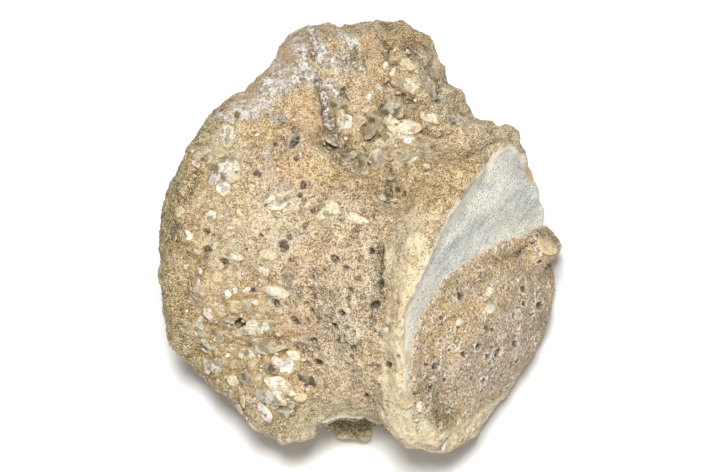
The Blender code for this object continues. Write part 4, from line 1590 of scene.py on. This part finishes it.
# Settings of nodes that come up again and again.
BLEND = {"data_type": "RGBA"}
DARKEN = {"data_type": "RGBA", "blend_type": "MULTIPLY"}
PLUS = {"operation": "ADD"}
MINUS = {"operation": "SUBTRACT"}
TIMES = {"operation": "MULTIPLY"}
TIMES_PLUS = {"operation": "MULTIPLY_ADD"}
TIMES_CAPPED = {"operation": "MULTIPLY", "use_clamp": True}
LARGER = {"operation": "MAXIMUM"}
SIZE_OF = {"operation": "ABSOLUTE"}
CELLS = {"feature": "F1"}


class Finish:
    """A material under construction: its node tree and the block's coordinates in millimetres."""

    def __init__(self, name: str) -> None:
        """Start the material.

        Args:
            name: what the surface is made of and how it came to be.
        """
        self.material = bpy.data.materials.new(name)
        self.material.use_nodes = True
        self.tree = self.material.node_tree
        self.tree.nodes.clear()
        turned = FRAME.matrix().inverted()
        place = self.add("TexCoord").outputs["Object"]
        self.spot = self.add("Mapping", {"vector_type": "POINT"}, Vector=place, Scale=turned.to_scale(),
                             Rotation=turned.to_euler(), Location=turned.to_translation())

    def add(self, kind: str, settings: dict[str, Any] | None = None, *numbered: Any,
            **named: Any) -> bpy.types.Node:
        """Add a node with its settings and links.

        Args:
            kind: the node's kind, as in Blender's name for it after "ShaderNode".
            settings: the node's properties; "stops" gives a ramp's places and hex colours.
            numbered: for the first sockets their values, or the nodes or sockets that feed them.
            named: the same for sockets by name, with _ for a space.

        Returns:
            The node.
        """
        node = self.tree.nodes.new("ShaderNode" + kind)
        for name, value in (settings or {}).items():
            if name == "stops":
                ramp = node.color_ramp.elements
                for spare in range(len(value) - 2):
                    ramp.new(0.5)
                for element, (place, colour) in zip(ramp, value):
                    element.position = place
                    element.color = linear(colour)
            else:
                setattr(node, name, value)
        links = {name.replace("_", " "): value for name, value in named.items()}
        for key, value in (*enumerate(numbered), *links.items()):
            if isinstance(key, int):
                socket = node.inputs[key]
            else:
                socket = next(entry for entry in node.inputs if entry.enabled and entry.name == key)
            if isinstance(value, bpy.types.Node):
                value = next(entry for entry in value.outputs if entry.enabled)
            if isinstance(value, bpy.types.NodeSocket):
                self.tree.links.new(value, socket)
            elif isinstance(value, str):
                socket.default_value = linear(value)
            else:
                socket.default_value = value
        return node

    def overlaid(self, base: bpy.types.Node, masks: dict[str, bpy.types.NodeSocket],
                 layers: Sequence[tuple[str, Any, float]]) -> bpy.types.Node:
        """Lay colours over another where masks say so.

        Args:
            base: the colour.
            masks: each mask's socket, by name.
            layers: for each colour laid over, its mask, itself and its strength.

        Returns:
            The colour that shows.
        """
        for name, colour, strength in layers:
            share = self.add("Math", TIMES_CAPPED, masks[name], strength)
            base = self.add("Mix", BLEND, Factor=share, A=base, B=colour)
        return base

    def close(self, colour: bpy.types.Node, bump: bpy.types.Node, **shader: Any) -> bpy.types.Material:
        """Finish the material with its shader.

        Args:
            colour: gives the base colour.
            bump: gives the normal.
            shader: the shader's own values by socket name, with _ for a space.

        Returns:
            The material.
        """
        surface = self.add("BsdfPrincipled", Base_Color=colour, Normal=bump, **shader)
        self.add("OutputMaterial", Surface=surface)
        return self.material


@dataclass(frozen=True)
class Tint:
    """A colour laid over another where a mask says so."""

    mask: str
    colour: str
    strength: float
    ragged: float = 0.5


@dataclass(frozen=True)
class Thread:
    """Thin winding lines: how close they lie, how wide they are, and how much they lighten."""

    per_mm: float
    width: float
    lightens: float


@dataclass(frozen=True)
class SandyFossilBone:
    """Fossil bone with sand cemented to it by calcite and iron oxide: broken, weathered, unpolished."""

    name: str = "sandy_fossil_bone"
    hues: Stops = (
        (0.28, "#D6BC84"), (0.40, "#D9BC92"), (0.50, "#D2B088"), (0.60, "#C9B89E"), (0.72, "#E0D2B0"),
    )
    stones: Stops = (
        (0.30, "#C9B98E"), (0.42, "#D8CCA6"), (0.52, "#B9AF96"), (0.62, "#D9C49A"), (0.72, "#E6DFC6"),
        (0.84, "#C7B183"), (0.94, "#F0EBDC"),
    )
    streaks: Stops = (
        (0.36, "#766945"), (0.45, "#A09068"), (0.53, "#BAAC80"), (0.64, "#E0D5AC"),
    )
    far_wall_shade: Stops = (
        (0.0, "#6E614A"), (0.35, "#796B49"), (0.75, "#9E8A58"), (1.0, "#BBA972"),
    )
    tints: tuple[Tint, ...] = (
        # The cream tint also paints light on the lower rim; the olive and umber tints paint shade on the
        # far wall of the hollow.
        Tint("ochre", "#D9B165", 0.62),
        Tint("salmon", "#D0A676", 0.80),
        Tint("olive", "#9C8648", 0.94),
        Tint("pale", "#E9E3C8", 0.62),
        Tint("cream", "#FDEABC", 0.74),
        Tint("grey", "#AAA49A", 0.80),
        Tint("umber", "#A08A62", 0.70),
        Tint("groove", "#958771", 0.85, 1.1),
    )
    threads: tuple[Thread, ...] = (
        Thread(0.6, 0.022, -0.55),
        Thread(1.1, 0.040, -0.50),
        Thread(1.9, 0.070, -0.34),
        Thread(1.4, 0.045, 0.44),
        Thread(2.3, 0.080, 0.40),
    )

    def build(self) -> bpy.types.Material:
        """Build the finish: matt and grainy, tan to ochre, with dark pores and white crust.

        Returns:
            The material.
        """
        finish = Finish(self.name)
        add = finish.add
        spot = finish.spot
        mask = {name: add("Attribute", {"attribute_name": name}).outputs["Fac"] for name in STORED_MASKS}
        # A grain's outline is bent by noise of its own width, so that no cell looks drawn.
        bend = add("TexNoise", Vector=spot, Scale=0.8, Detail=4.0, Roughness=0.6)
        shift = add("VectorMath", MINUS, bend.outputs["Color"], (0.5, 0.5, 0.5))
        small = add("VectorMath", {"operation": "SCALE"}, shift, Scale=2.2)
        bent = add("VectorMath", PLUS, spot, small)
        # The hue drifts over 3 mm, and differs a little from grain to grain.
        hue_drift = add("TexNoise", Vector=bent, Scale=0.30, Detail=5.0, Roughness=0.65)
        hue = add("ValToRGB", {"stops": self.hues}, Fac=hue_drift)
        sand = add("TexVoronoi", CELLS, Vector=bent, Scale=0.9)
        pick = add("SeparateColor", Color=sand.outputs["Color"])
        own = add("ValToRGB", {"stops": self.hues}, Fac=pick.outputs["Blue"])
        base = add("Mix", BLEND, Factor=0.06, A=hue, B=own)
        edge = add("TexNoise", Vector=spot, Scale=0.6, Detail=4.0, Roughness=0.7)
        for tint in self.tints:
            rough = add("Math", TIMES_PLUS, edge, tint.ragged, -0.5 * tint.ragged)
            torn = add("Math", PLUS, mask[tint.mask], rough)
            share = add("MapRange", Value=torn, From_Min=0.10, From_Max=0.6, To_Max=tint.strength)
            base = add("Mix", BLEND, Factor=share, A=base, B=tint.colour)
        # The flank is mottled in patches 4 mm wide.
        broad = add("TexNoise", Vector=spot, Scale=0.24, Detail=4.0, Roughness=0.6)
        mottled = add("ValToRGB", {"stops": ((0.40, "#6E5B2C"), (0.49, "#988048"), (0.58, "#BBA464"),
                                             (0.66, "#877034"))}, Fac=broad)
        # The hollow's skin is streaked along its edge. Its far wall is brown and deep, and painted darkest
        # just under the edge as shade.
        parts = add("SeparateXYZ", Vector=bent)
        run = add("Math", TIMES, parts.outputs["X"], 0.14)
        rise = add("Math", TIMES, parts.outputs["Y"], 0.14)
        along = add("CombineXYZ", X=mask["lay"], Y=run, Z=rise)
        streak = add("TexNoise", Vector=along, Scale=1.3, Detail=5.0, Roughness=0.75)
        ribbed = add("ValToRGB", {"stops": self.streaks}, Fac=streak)
        down = add("MapRange", Value=mask["lay"], From_Min=0.2, From_Max=4.6)
        wall = add("ValToRGB", {"stops": self.far_wall_shade}, Fac=down)
        # Packed sand grains each have their own shade, and are clear or clouded.
        stone = add("ValToRGB", {"stops": self.stones}, Fac=mask["shade"])
        layers = (("olive", mottled, 0.85), ("striated", ribbed, 0.85), ("far", wall, 1.0),
                  ("pebble", stone, 0.75))
        base = finish.overlaid(base, mask, layers)
        # How light each place is: clumps, sand 1.1 mm and 2.2 mm wide, grit 0.5 mm wide, relief, threads
        # of cement. The relief's height is painted as light on high places and as shade in low ones.
        # The finest of it is really about 0.1 mm, drawn 0.23 mm wide so that it shows.
        clump = add("TexNoise", Vector=spot, Scale=0.5, Detail=9.0, Roughness=0.74, Distortion=0.3)
        worm = add("TexNoise", Vector=spot, Scale=2.1, Detail=4.0, Roughness=0.78, Distortion=0.6)
        dust = add("TexNoise", Vector=spot, Scale=4.4, Detail=1.0, Roughness=0.7)
        grit = add("TexVoronoi", CELLS, Vector=bent, Scale=2.0)
        grit_pick = add("SeparateColor", Color=grit.outputs["Color"])
        flush = add("TexVoronoi", CELLS, Vector=bent, Scale=0.45)
        kind = add("SeparateColor", Color=flush.outputs["Color"])
        level = 0.10
        for source, share in ((mask["cream"], 0.34), (clump, 1.9), (worm, 2.3), (dust, 3.6),
                              (grit_pick.outputs["Red"], 0.16), (pick.outputs["Green"], 0.14),
                              (kind.outputs["Green"], 0.10), (mask["lift"], 0.5)):
            level = add("Math", TIMES_PLUS, source, share, level)
        level = add("Math", MINUS, level, 3.89)
        for thread in self.threads:
            wind = add("TexNoise", Vector=bent, Scale=thread.per_mm, Detail=3.0, Roughness=0.6,
                       Distortion=0.4)
            off = add("Math", MINUS, wind, 0.5)
            away = add("Math", SIZE_OF, off)
            line = add("MapRange", Value=away, From_Max=thread.width, To_Min=thread.lightens, To_Max=0.0)
            level = add("Math", PLUS, level, line)
        dark = add("Mix", DARKEN, Factor=1.0, A=base, B="#8B7C68")
        light = add("Mix", BLEND, Factor=0.78, A=base, B="#FFF0CE")
        # The broken faces of the sand grains are smoother than the cement between them.
        even = add("Math", LARGER, mask["pebble"], mask["salmon"])
        slick = add("Math", TIMES, mask["striated"], 1.35)
        even = add("Math", LARGER, even, slick)
        dull = add("Math", TIMES_PLUS, mask["olive"], 0.7, mask["far"])
        even = add("Math", LARGER, even, dull)
        calm = add("MapRange", Value=even, To_Min=1.0, To_Max=0.55)
        swing = add("Math", MINUS, level, 0.5)
        level = add("Math", TIMES_PLUS, swing, calm, 0.52)
        low = add("MapRange", Value=level, From_Max=0.5)
        high = add("MapRange", Value=level, From_Min=0.5)
        base = add("Mix", BLEND, Factor=low, A=dark, B=base)
        base = add("Mix", BLEND, Factor=high, A=base, B=light)
        # Iron oxide gathers in the joints between grains.
        lines = add("TexVoronoi", {"feature": "DISTANCE_TO_EDGE"}, Vector=bent, Scale=0.45)
        thin = add("MapRange", Value=lines, From_Min=0.01, From_Max=0.10, To_Min=1.0, To_Max=0.0)
        deep = add("Math", TIMES_PLUS, mask["cement"], 0.25, thin)
        patchy = add("Math", TIMES, deep, mask["sandy"])
        stain = add("Math", TIMES_CAPPED, patchy, 0.50)
        base = add("Mix", BLEND, Factor=stain, A=base, B="#BF9A52")
        # Pores, cracks and sponge holes are painted dark as shade over pale silt; pore rims, the hollow's
        # front edge and the step down to the marl are painted pale as highlight.
        silt = add("ValToRGB",
                   {"stops": ((0.38, "#2A2119"), (0.50, "#4E3F2F"), (0.57, "#A09078"), (0.66, "#D8CFBE"))},
                   Fac=worm)
        marly = add("ValToRGB",
                    {"stops": ((0.36, "#8E8B7C"), (0.44, "#C4C5B8"), (0.56, "#DCDDD0"), (0.70, "#F4F3E8"))},
                    Fac=worm)
        layers = (("halo", "#9A7844", 0.42), ("rim", "#F6EDDA", 0.80), ("lip", "#F6F0DE", 0.92),
                  ("seam", marly, 0.72), ("sunk", silt, 0.95))
        base = finish.overlaid(base, mask, layers)
        # The crust is a net of white calcite with black specks of manganese between its threads.
        hollow = add("Math", TIMES, mask["crust"], 0.52)
        base = add("Mix", BLEND, Factor=hollow, A=base, B="#A08D72")
        net = add("TexNoise", Vector=bent, Scale=0.42, Detail=5.0, Roughness=0.72, Distortion=0.6)
        off = add("Math", MINUS, net, 0.5)
        away = add("Math", SIZE_OF, off)
        inside = add("Math", TIMES, mask["crust"], 0.045)
        over = add("Math", MINUS, inside, away)
        chalk = add("MapRange", Value=over, From_Max=0.012, To_Max=0.95)
        base = add("Mix", BLEND, Factor=chalk, A=base, B="#FDFBF8")
        speck = add("MapRange", Value=worm, From_Min=0.43, From_Max=0.38, To_Max=0.9)
        gap = add("Math", {"operation": "SUBTRACT", "use_clamp": True}, mask["crust"], chalk)
        black = add("Math", TIMES, speck, gap)
        colour = add("Mix", BLEND, Factor=black, A=base, B="#453F38")
        grain_bump = add("Bump", Height=clump, Strength=0.7, Distance=0.0010)
        fine_bump = add("Bump", Height=worm, Strength=0.7, Distance=0.0004, Normal=grain_bump)
        return finish.close(colour, fine_bump, Roughness=0.82, IOR=1.55, Specular_IOR_Level=0.35)


@dataclass(frozen=True)
class CancellousBone:
    """Cancellous bone turned to phosphate, weathered: pinkish walls round cells filled with silt."""

    name: str = "weathered_cancellous_bone"
    silt: Stops = (
        (0.30, "#BCA478"), (0.42, "#D6B98A"), (0.52, "#E2C59E"), (0.62, "#DFCAB4"), (0.74, "#F2E0BE"),
    )
    cells: Stops = (
        (0.35, "#BFA274"), (0.43, "#EFE0CA"), (0.50, "#D6B487"), (0.57, "#8E7450"), (0.64, "#F4E9DA"),
        (0.72, "#BAA596"), (0.79, "#7C6443"), (0.86, "#DCC6A4"),
    )

    def build(self) -> bpy.types.Material:
        """Build the finish: matt, mauve-brown, netted with paler walls, with small dark pores.

        Returns:
            The material.
        """
        finish = Finish(self.name)
        add = finish.add
        spot = finish.spot
        names = ("tone", "fill", "ochre", "mauve", "umber", "wall", "rim", "sunk", "edge")
        mask = {name: add("Attribute", {"attribute_name": name}).outputs["Fac"] for name in names}
        drift = add("TexNoise", Vector=spot, Scale=0.3, Detail=5.0, Roughness=0.65)
        base = add("ValToRGB", {"stops": self.silt}, Fac=drift)
        # The silt in each cell has its own shade.
        large = add("ValToRGB", {"stops": self.cells}, Fac=mask["tone"])
        # Dark pores and open cells are painted shade; pale pore rims and the pale band along the brow are
        # painted highlight.
        layers = (("fill", large, 0.82), ("ochre", "#DFC694", 0.40), ("mauve", "#D2C2B6", 0.45),
                  ("umber", "#8C7A56", 0.72), ("wall", "#FFF8EC", 0.85), ("rim", "#FFFBF0", 0.85),
                  ("sunk", "#57432D", 0.86), ("edge", "#F0DCBC", 0.60))
        base = finish.overlaid(base, mask, layers)
        # Mottling, really about 0.1 mm, drawn 0.4 mm wide so that it shows.
        worm = add("TexNoise", Vector=spot, Scale=2.4, Detail=5.0, Roughness=0.9, Distortion=0.8)
        light = add("ValToRGB",
                    {"stops": ((0.39, "#2C2218"), (0.46, "#8C7C66"), (0.52, "#FFFEFA"), (0.75, "#FFFFFF"))},
                    Fac=worm)
        quiet = add("TexNoise", Vector=spot, Scale=0.22, Detail=3.0)
        busy = add("MapRange", Value=quiet, From_Min=0.40, From_Max=0.54, To_Min=0.85)
        mottled = add("Mix", DARKEN, Factor=busy, A=base, B=light)
        fleck = add("TexNoise", Vector=spot, Scale=2.2, Detail=4.0, Roughness=0.8, Distortion=1.0)
        white = add("MapRange", Value=fleck, From_Min=0.58, From_Max=0.66, To_Max=0.75)
        colour = add("Mix", BLEND, Factor=white, A=mottled, B="#FFFBF0")
        bump = add("Bump", Height=worm, Strength=0.6, Distance=0.0004)
        return finish.close(colour, bump, Roughness=0.8, IOR=1.6, Specular_IOR_Level=0.35)


@dataclass(frozen=True)
class Marl:
    """Marl, a clay with much lime, laid down wet and dried hard: fine, dull and cool in colour."""

    name: str = "dried_marl"
    clay: Stops = (
        (0.34, "#B2B4B1"), (0.43, "#D0D0C8"), (0.52, "#E6E4D8"), (0.64, "#F3EFE0"),
    )

    def build(self) -> bpy.types.Material:
        """Build the finish: pale blue-grey to cream, streaked along the bedding, finely speckled.

        Returns:
            The material.
        """
        finish = Finish(self.name)
        add = finish.add
        spot = finish.spot
        laid = add("Mapping", {"vector_type": "TEXTURE"}, Vector=spot,
                   Rotation=(0.0, 0.0, math.radians(MARL_GRAIN_DEGREES)), Scale=(3.2, 1.0, 1.0))
        streak = add("TexNoise", Vector=laid, Scale=0.55, Detail=5.0, Roughness=0.6)
        cloud = add("TexNoise", Vector=spot, Scale=0.5, Detail=5.0, Roughness=0.7)
        blend = add("Mix", {"data_type": "FLOAT"}, Factor=0.5, A=streak, B=cloud)
        base = add("ValToRGB", {"stops": self.clay}, Fac=blend)
        # The cream layer also lightens the lower end of the wedge as painted light; the grey layer darkens
        # bands along the fold and the upper end.
        layers = (("cream", "#F8F5E0", 0.42), ("smudge", "#A9AFB4", 0.50), ("edge", "#F2E8D4", 0.75),
                  ("rusty", "#E6C08C", 0.9))
        mask = {name: add("Attribute", {"attribute_name": name}).outputs["Fac"] for name, _, _ in layers}
        base = finish.overlaid(base, mask, layers)
        # Silt specks, really under 0.1 mm, drawn 0.3 mm wide so that they show.
        silt = add("TexNoise", Vector=spot, Scale=3.4, Detail=3.0, Roughness=0.75)
        faint = add("ValToRGB",
                    {"stops": ((0.36, "#7C7C7A"), (0.43, "#CFCDC8"), (0.50, "#FFFFFF"), (0.8, "#FFFFFF"))},
                    Fac=silt)
        base = add("Mix", DARKEN, Factor=0.95, A=base, B=faint)
        hair = add("TexNoise", Vector=laid, Scale=2.2, Detail=2.0, Distortion=0.5)
        fine = add("MapRange", Value=hair, From_Min=0.40, From_Max=0.32, To_Max=0.5)
        base = add("Mix", BLEND, Factor=fine, A=base, B="#A9AEAF")
        dots = add("TexVoronoi", CELLS, Vector=spot, Scale=1.15)
        chosen = add("SeparateColor", Color=dots.outputs["Color"])
        small = add("MapRange", Value=dots, From_Min=0.20, From_Max=0.10)
        some = add("MapRange", Value=chosen.outputs["Blue"], From_Min=0.62, From_Max=0.66)
        dark = add("Math", TIMES, small, some)
        colour = add("Mix", BLEND, Factor=dark, A=base, B="#6C6E6E")
        bump = add("Bump", Height=silt, Strength=0.35, Distance=0.0003)
        return finish.close(colour, bump, Roughness=0.9, IOR=1.5, Specular_IOR_Level=0.3)


@dataclass(frozen=True)
class GrainFinish:
    """The stone of one kind of grain, chipped and water-worn."""

    name: str
    tones: Stops
    roughness: float
    ior: float
    facet_shading: float
    subsurface: float
    rim_colour: str

    def build(self) -> bpy.types.Material:
        """Build the finish, in which each grain has its own shade, with painted shade on some inner faces.

        Returns:
            The material.
        """
        finish = Finish(self.name)
        add = finish.add
        tone = add("Attribute", {"attribute_name": "tone"})
        base = add("ValToRGB", {"stops": self.tones}, Fac=tone.outputs["Fac"])
        # Broken faces within the stone are painted in patches about 1.2 mm wide, some darkened as painted
        # shade.
        bend = add("TexNoise", Vector=finish.spot, Scale=1.0, Detail=3.0)
        bent = add("VectorMath", TIMES_PLUS, bend.outputs["Color"], (1.6, 1.6, 1.6), finish.spot)
        faces = add("TexVoronoi", {"feature": "SMOOTH_F1"}, Vector=bent, Scale=0.8, Smoothness=0.35)
        pick = add("SeparateColor", Color=faces.outputs["Color"])
        facet_shade = add("ValToRGB",
                    {"stops": ((0.05, "#867C6C"), (0.28, "#BDB5A8"), (0.50, "#F2EEE8"), (0.80, "#FFFFFF"))},
                    Fac=pick.outputs["Red"])
        base = add("Mix", DARKEN, Factor=self.facet_shading, A=base, B=facet_shade)
        # Nicks, really 0.1 mm, drawn 0.4 mm wide so that they show.
        nick = add("TexNoise", Vector=finish.spot, Scale=2.6, Detail=2.0, Roughness=0.6)
        worn = add("ValToRGB",
                   {"stops": ((0.32, "#8E8373"), (0.45, "#E6E2DA"), (0.6, "#FFFFFF"), (0.8, "#FFFFFF"))},
                   Fac=nick)
        base = add("Mix", DARKEN, Factor=0.7, A=base, B=worn)
        rim = add("Attribute", {"attribute_name": "rim"})
        outer = add("MapRange", Value=rim.outputs["Fac"], From_Min=0.75, From_Max=1.0, To_Max=0.55)
        colour = add("Mix", BLEND, Factor=outer, A=base, B=self.rim_colour)
        bump = add("Bump", Height=nick, Strength=0.5, Distance=0.0004)
        return finish.close(colour, bump, Roughness=self.roughness, IOR=self.ior,
                            Subsurface_Weight=self.subsurface, Subsurface_Scale=0.001,
                            Subsurface_Radius=(1.0, 0.8, 0.5))


# Calcite is glassy and half clear, chalky sand is dull and warm, and phosphate grains are dark and waxy.
GRAIN_FINISHES: dict[GrainKind, GrainFinish] = {
    CALCITE: GrainFinish(
        "water_worn_calcite",
        ((0.0, "#D6C8A2"), (0.22, "#E8DDBE"), (0.45, "#F2E9D4"), (0.62, "#DDD6C6"), (0.80, "#F6F0E2"),
         (1.0, "#FCF9F2")),
        roughness=0.22, ior=1.58, facet_shading=0.85, subsurface=0.15, rim_colour="#C8AE78",
    ),
    CHALKY: GrainFinish(
        "chalky_sand_grains",
        ((0.0, "#D2BE92"), (0.25, "#DBC9A2"), (0.5, "#E6D7B4"), (0.75, "#EFE5CC"), (1.0, "#F6EEDC")),
        roughness=0.7, ior=1.5, facet_shading=0.30, subsurface=0.0, rim_colour="#D2B888",
    ),
    GREY: GrainFinish(
        "waxy_phosphate_grains",
        ((0.0, "#8A7A5E"), (0.3, "#A89A80"), (0.55, "#C0B598"), (0.8, "#CAC2B0"), (1.0, "#A08C66")),
        roughness=0.30, ior=1.6, facet_shading=0.90, subsurface=0.1, rim_colour="#B9A782",
    ),
}


# ---- The studio ----


@dataclass(frozen=True)
class SoftLight:
    """One square soft light: where it hangs and its side, in metres, and its power in watts."""

    name: str
    place: Place3
    size: float
    power: float


@dataclass
class Studio:
    """A white floor, soft light from all round, and the camera high above the specimen."""

    frame_width: float = 134.5
    aim: Place3 = (-1.52, -0.38, 0.0)
    lens: float = 250.0
    sensor: float = 36.0
    floor_size: float = 6.0
    floor_colour: str = "#FAFAFA"
    sky: float = 0.11
    lit_spot: Place3 = (0.0, 0.0, 0.03)
    lights: tuple[SoftLight, ...] = (
        SoftLight("soft_box_over_camera", (-0.05, -0.11, 1.19), 0.27, 16.8),
        SoftLight("white_card_in_front", (0.30, -0.52, 0.28), 0.40, 1.2),
    )

    def floor(self) -> None:
        """Lay the floor."""
        half = self.floor_size / 2.0
        mesh = bpy.data.meshes.new("studio_floor")
        mesh.from_pydata([(-half, -half, 0.0), (half, -half, 0.0), (half, half, 0.0), (-half, half, 0.0)],
                         [], [(0, 1, 2, 3)])
        paper = Finish("matt_white_paper")
        tooth = paper.add("TexNoise", Vector=paper.spot, Scale=1.2, Detail=2.0)
        shade = paper.add("ValToRGB", {"stops": ((0.0, "#F6F6F6"), (1.0, self.floor_colour))}, Fac=tooth)
        bump = paper.add("Bump", Height=tooth, Strength=0.02, Distance=0.0002)
        mesh.materials.append(paper.close(shade, bump, Roughness=0.95))
        new_object("studio_floor", mesh)

    def hang(self, light: SoftLight) -> None:
        """Hang one soft light, turned to the specimen.

        Args:
            light: the light.
        """
        lamp = bpy.data.lights.new(light.name, "AREA")
        lamp.size = light.size
        lamp.energy = light.power
        lit = bpy.data.objects.new(light.name, lamp)
        lit.location = light.place
        lit.rotation_euler = (Vector(self.lit_spot) - lit.location).to_track_quat("-Z", "Y").to_euler()
        bpy.context.scene.collection.objects.link(lit)

    def camera(self) -> None:
        """Set the camera square to the specimen's upper side."""
        lens = bpy.data.cameras.new("main_camera")
        lens.lens = self.lens
        lens.sensor_width = self.sensor
        lens.clip_start = 0.05
        lens.clip_end = 20.0
        seer = bpy.data.objects.new("main_camera", lens)
        outward = FRAME.outward()
        right = Vector((1.0, 0.0, 0.0))
        turn = Matrix((right, outward.cross(right), outward)).transposed()
        distance = self.frame_width * MM * self.lens / self.sensor
        place = FRAME.world(self.aim) + outward * distance
        seer.matrix_world = Matrix.Translation(place) @ turn.to_4x4()
        bpy.context.scene.collection.objects.link(seer)
        bpy.context.scene.camera = seer

    def build(self) -> None:
        """Put up the floor, the sky, the lights and the camera."""
        scene = bpy.context.scene
        scene.view_settings.view_transform = "Standard"
        scene.world = bpy.data.worlds.new("white_room")
        scene.world.use_nodes = True
        sky = scene.world.node_tree.nodes["Background"]
        sky.inputs["Color"].default_value = (1.0, 1.0, 1.0, 1.0)
        sky.inputs["Strength"].default_value = self.sky
        self.floor()
        for light in self.lights:
            self.hang(light)
        self.camera()


# ---- The whole ----


@dataclass
class Vertebra:
    """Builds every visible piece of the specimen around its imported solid, which isn't changed."""

    source: bpy.types.Object

    def finish_piece(self, shape: bpy.types.Object, material: bpy.types.Material,
                     smooth: bool = True) -> None:
        """Bring a mesh into the world, dress it and hand it to the frame.

        Args:
            shape: the piece, in specimen millimetres.
            material: its finish.
            smooth: whether its faces are shaded as one smooth surface.
        """
        mesh = shape.data
        mesh.transform(FRAME.matrix())
        points = read_vectors(mesh)
        points[:, 2] = np.maximum(points[:, 2], 0.0)
        write_vectors(mesh, points)
        mesh.polygons.foreach_set("use_smooth", [smooth] * len(mesh.polygons))
        mesh.materials.clear()
        mesh.materials.append(material)
        mesh.update()
        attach(shape, BODY)
        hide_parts(NODE)
        triangles = sum(len(face.vertices) - 2 for face in mesh.polygons)
        LOG.info("%s: %d triangles", shape.name, triangles)

    def build(self) -> None:
        """Build and dress the skin, the lump, the marl and the grains."""
        block = SmoothBlock().build(self.source)
        dropper = Dropper.onto(block)
        LOG.info("smooth block: %d points", len(block.data.vertices))
        skin = BlockSkin()
        surface = skin.survey(block)
        height = BoneRelief().apply(surface, anchors_of(PORES, dropper))
        LOG.info("relief worked out")
        bed = GrainBed()
        grains = bed.placed(dropper)
        bed.scatter(grains, surface)
        surface.masks["halo"] = bed.halo(grains, surface)
        LOG.info("grains laid out")
        self.finish_piece(skin.build(block, surface, height), SandyFossilBone().build())
        self.finish_piece(CupLump().build(block, dropper), CancellousBone().build())
        self.finish_piece(MarlWedge().build(block), Marl().build())
        for kind, kept in grains.items():
            piece = bed.build(kind, kept)
            self.finish_piece(piece, GRAIN_FINISHES[kind].build(), smooth=kind is not CALCITE)
        bpy.data.objects.remove(block)


def main() -> None:
    """Build the specimen and its studio."""
    logging.basicConfig(level=logging.INFO, format="%(name)s: %(message)s")
    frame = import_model()
    Vertebra(frame["nodes"][NODE]).build()
    Studio().build()


if __name__ == "__main__":
    main()
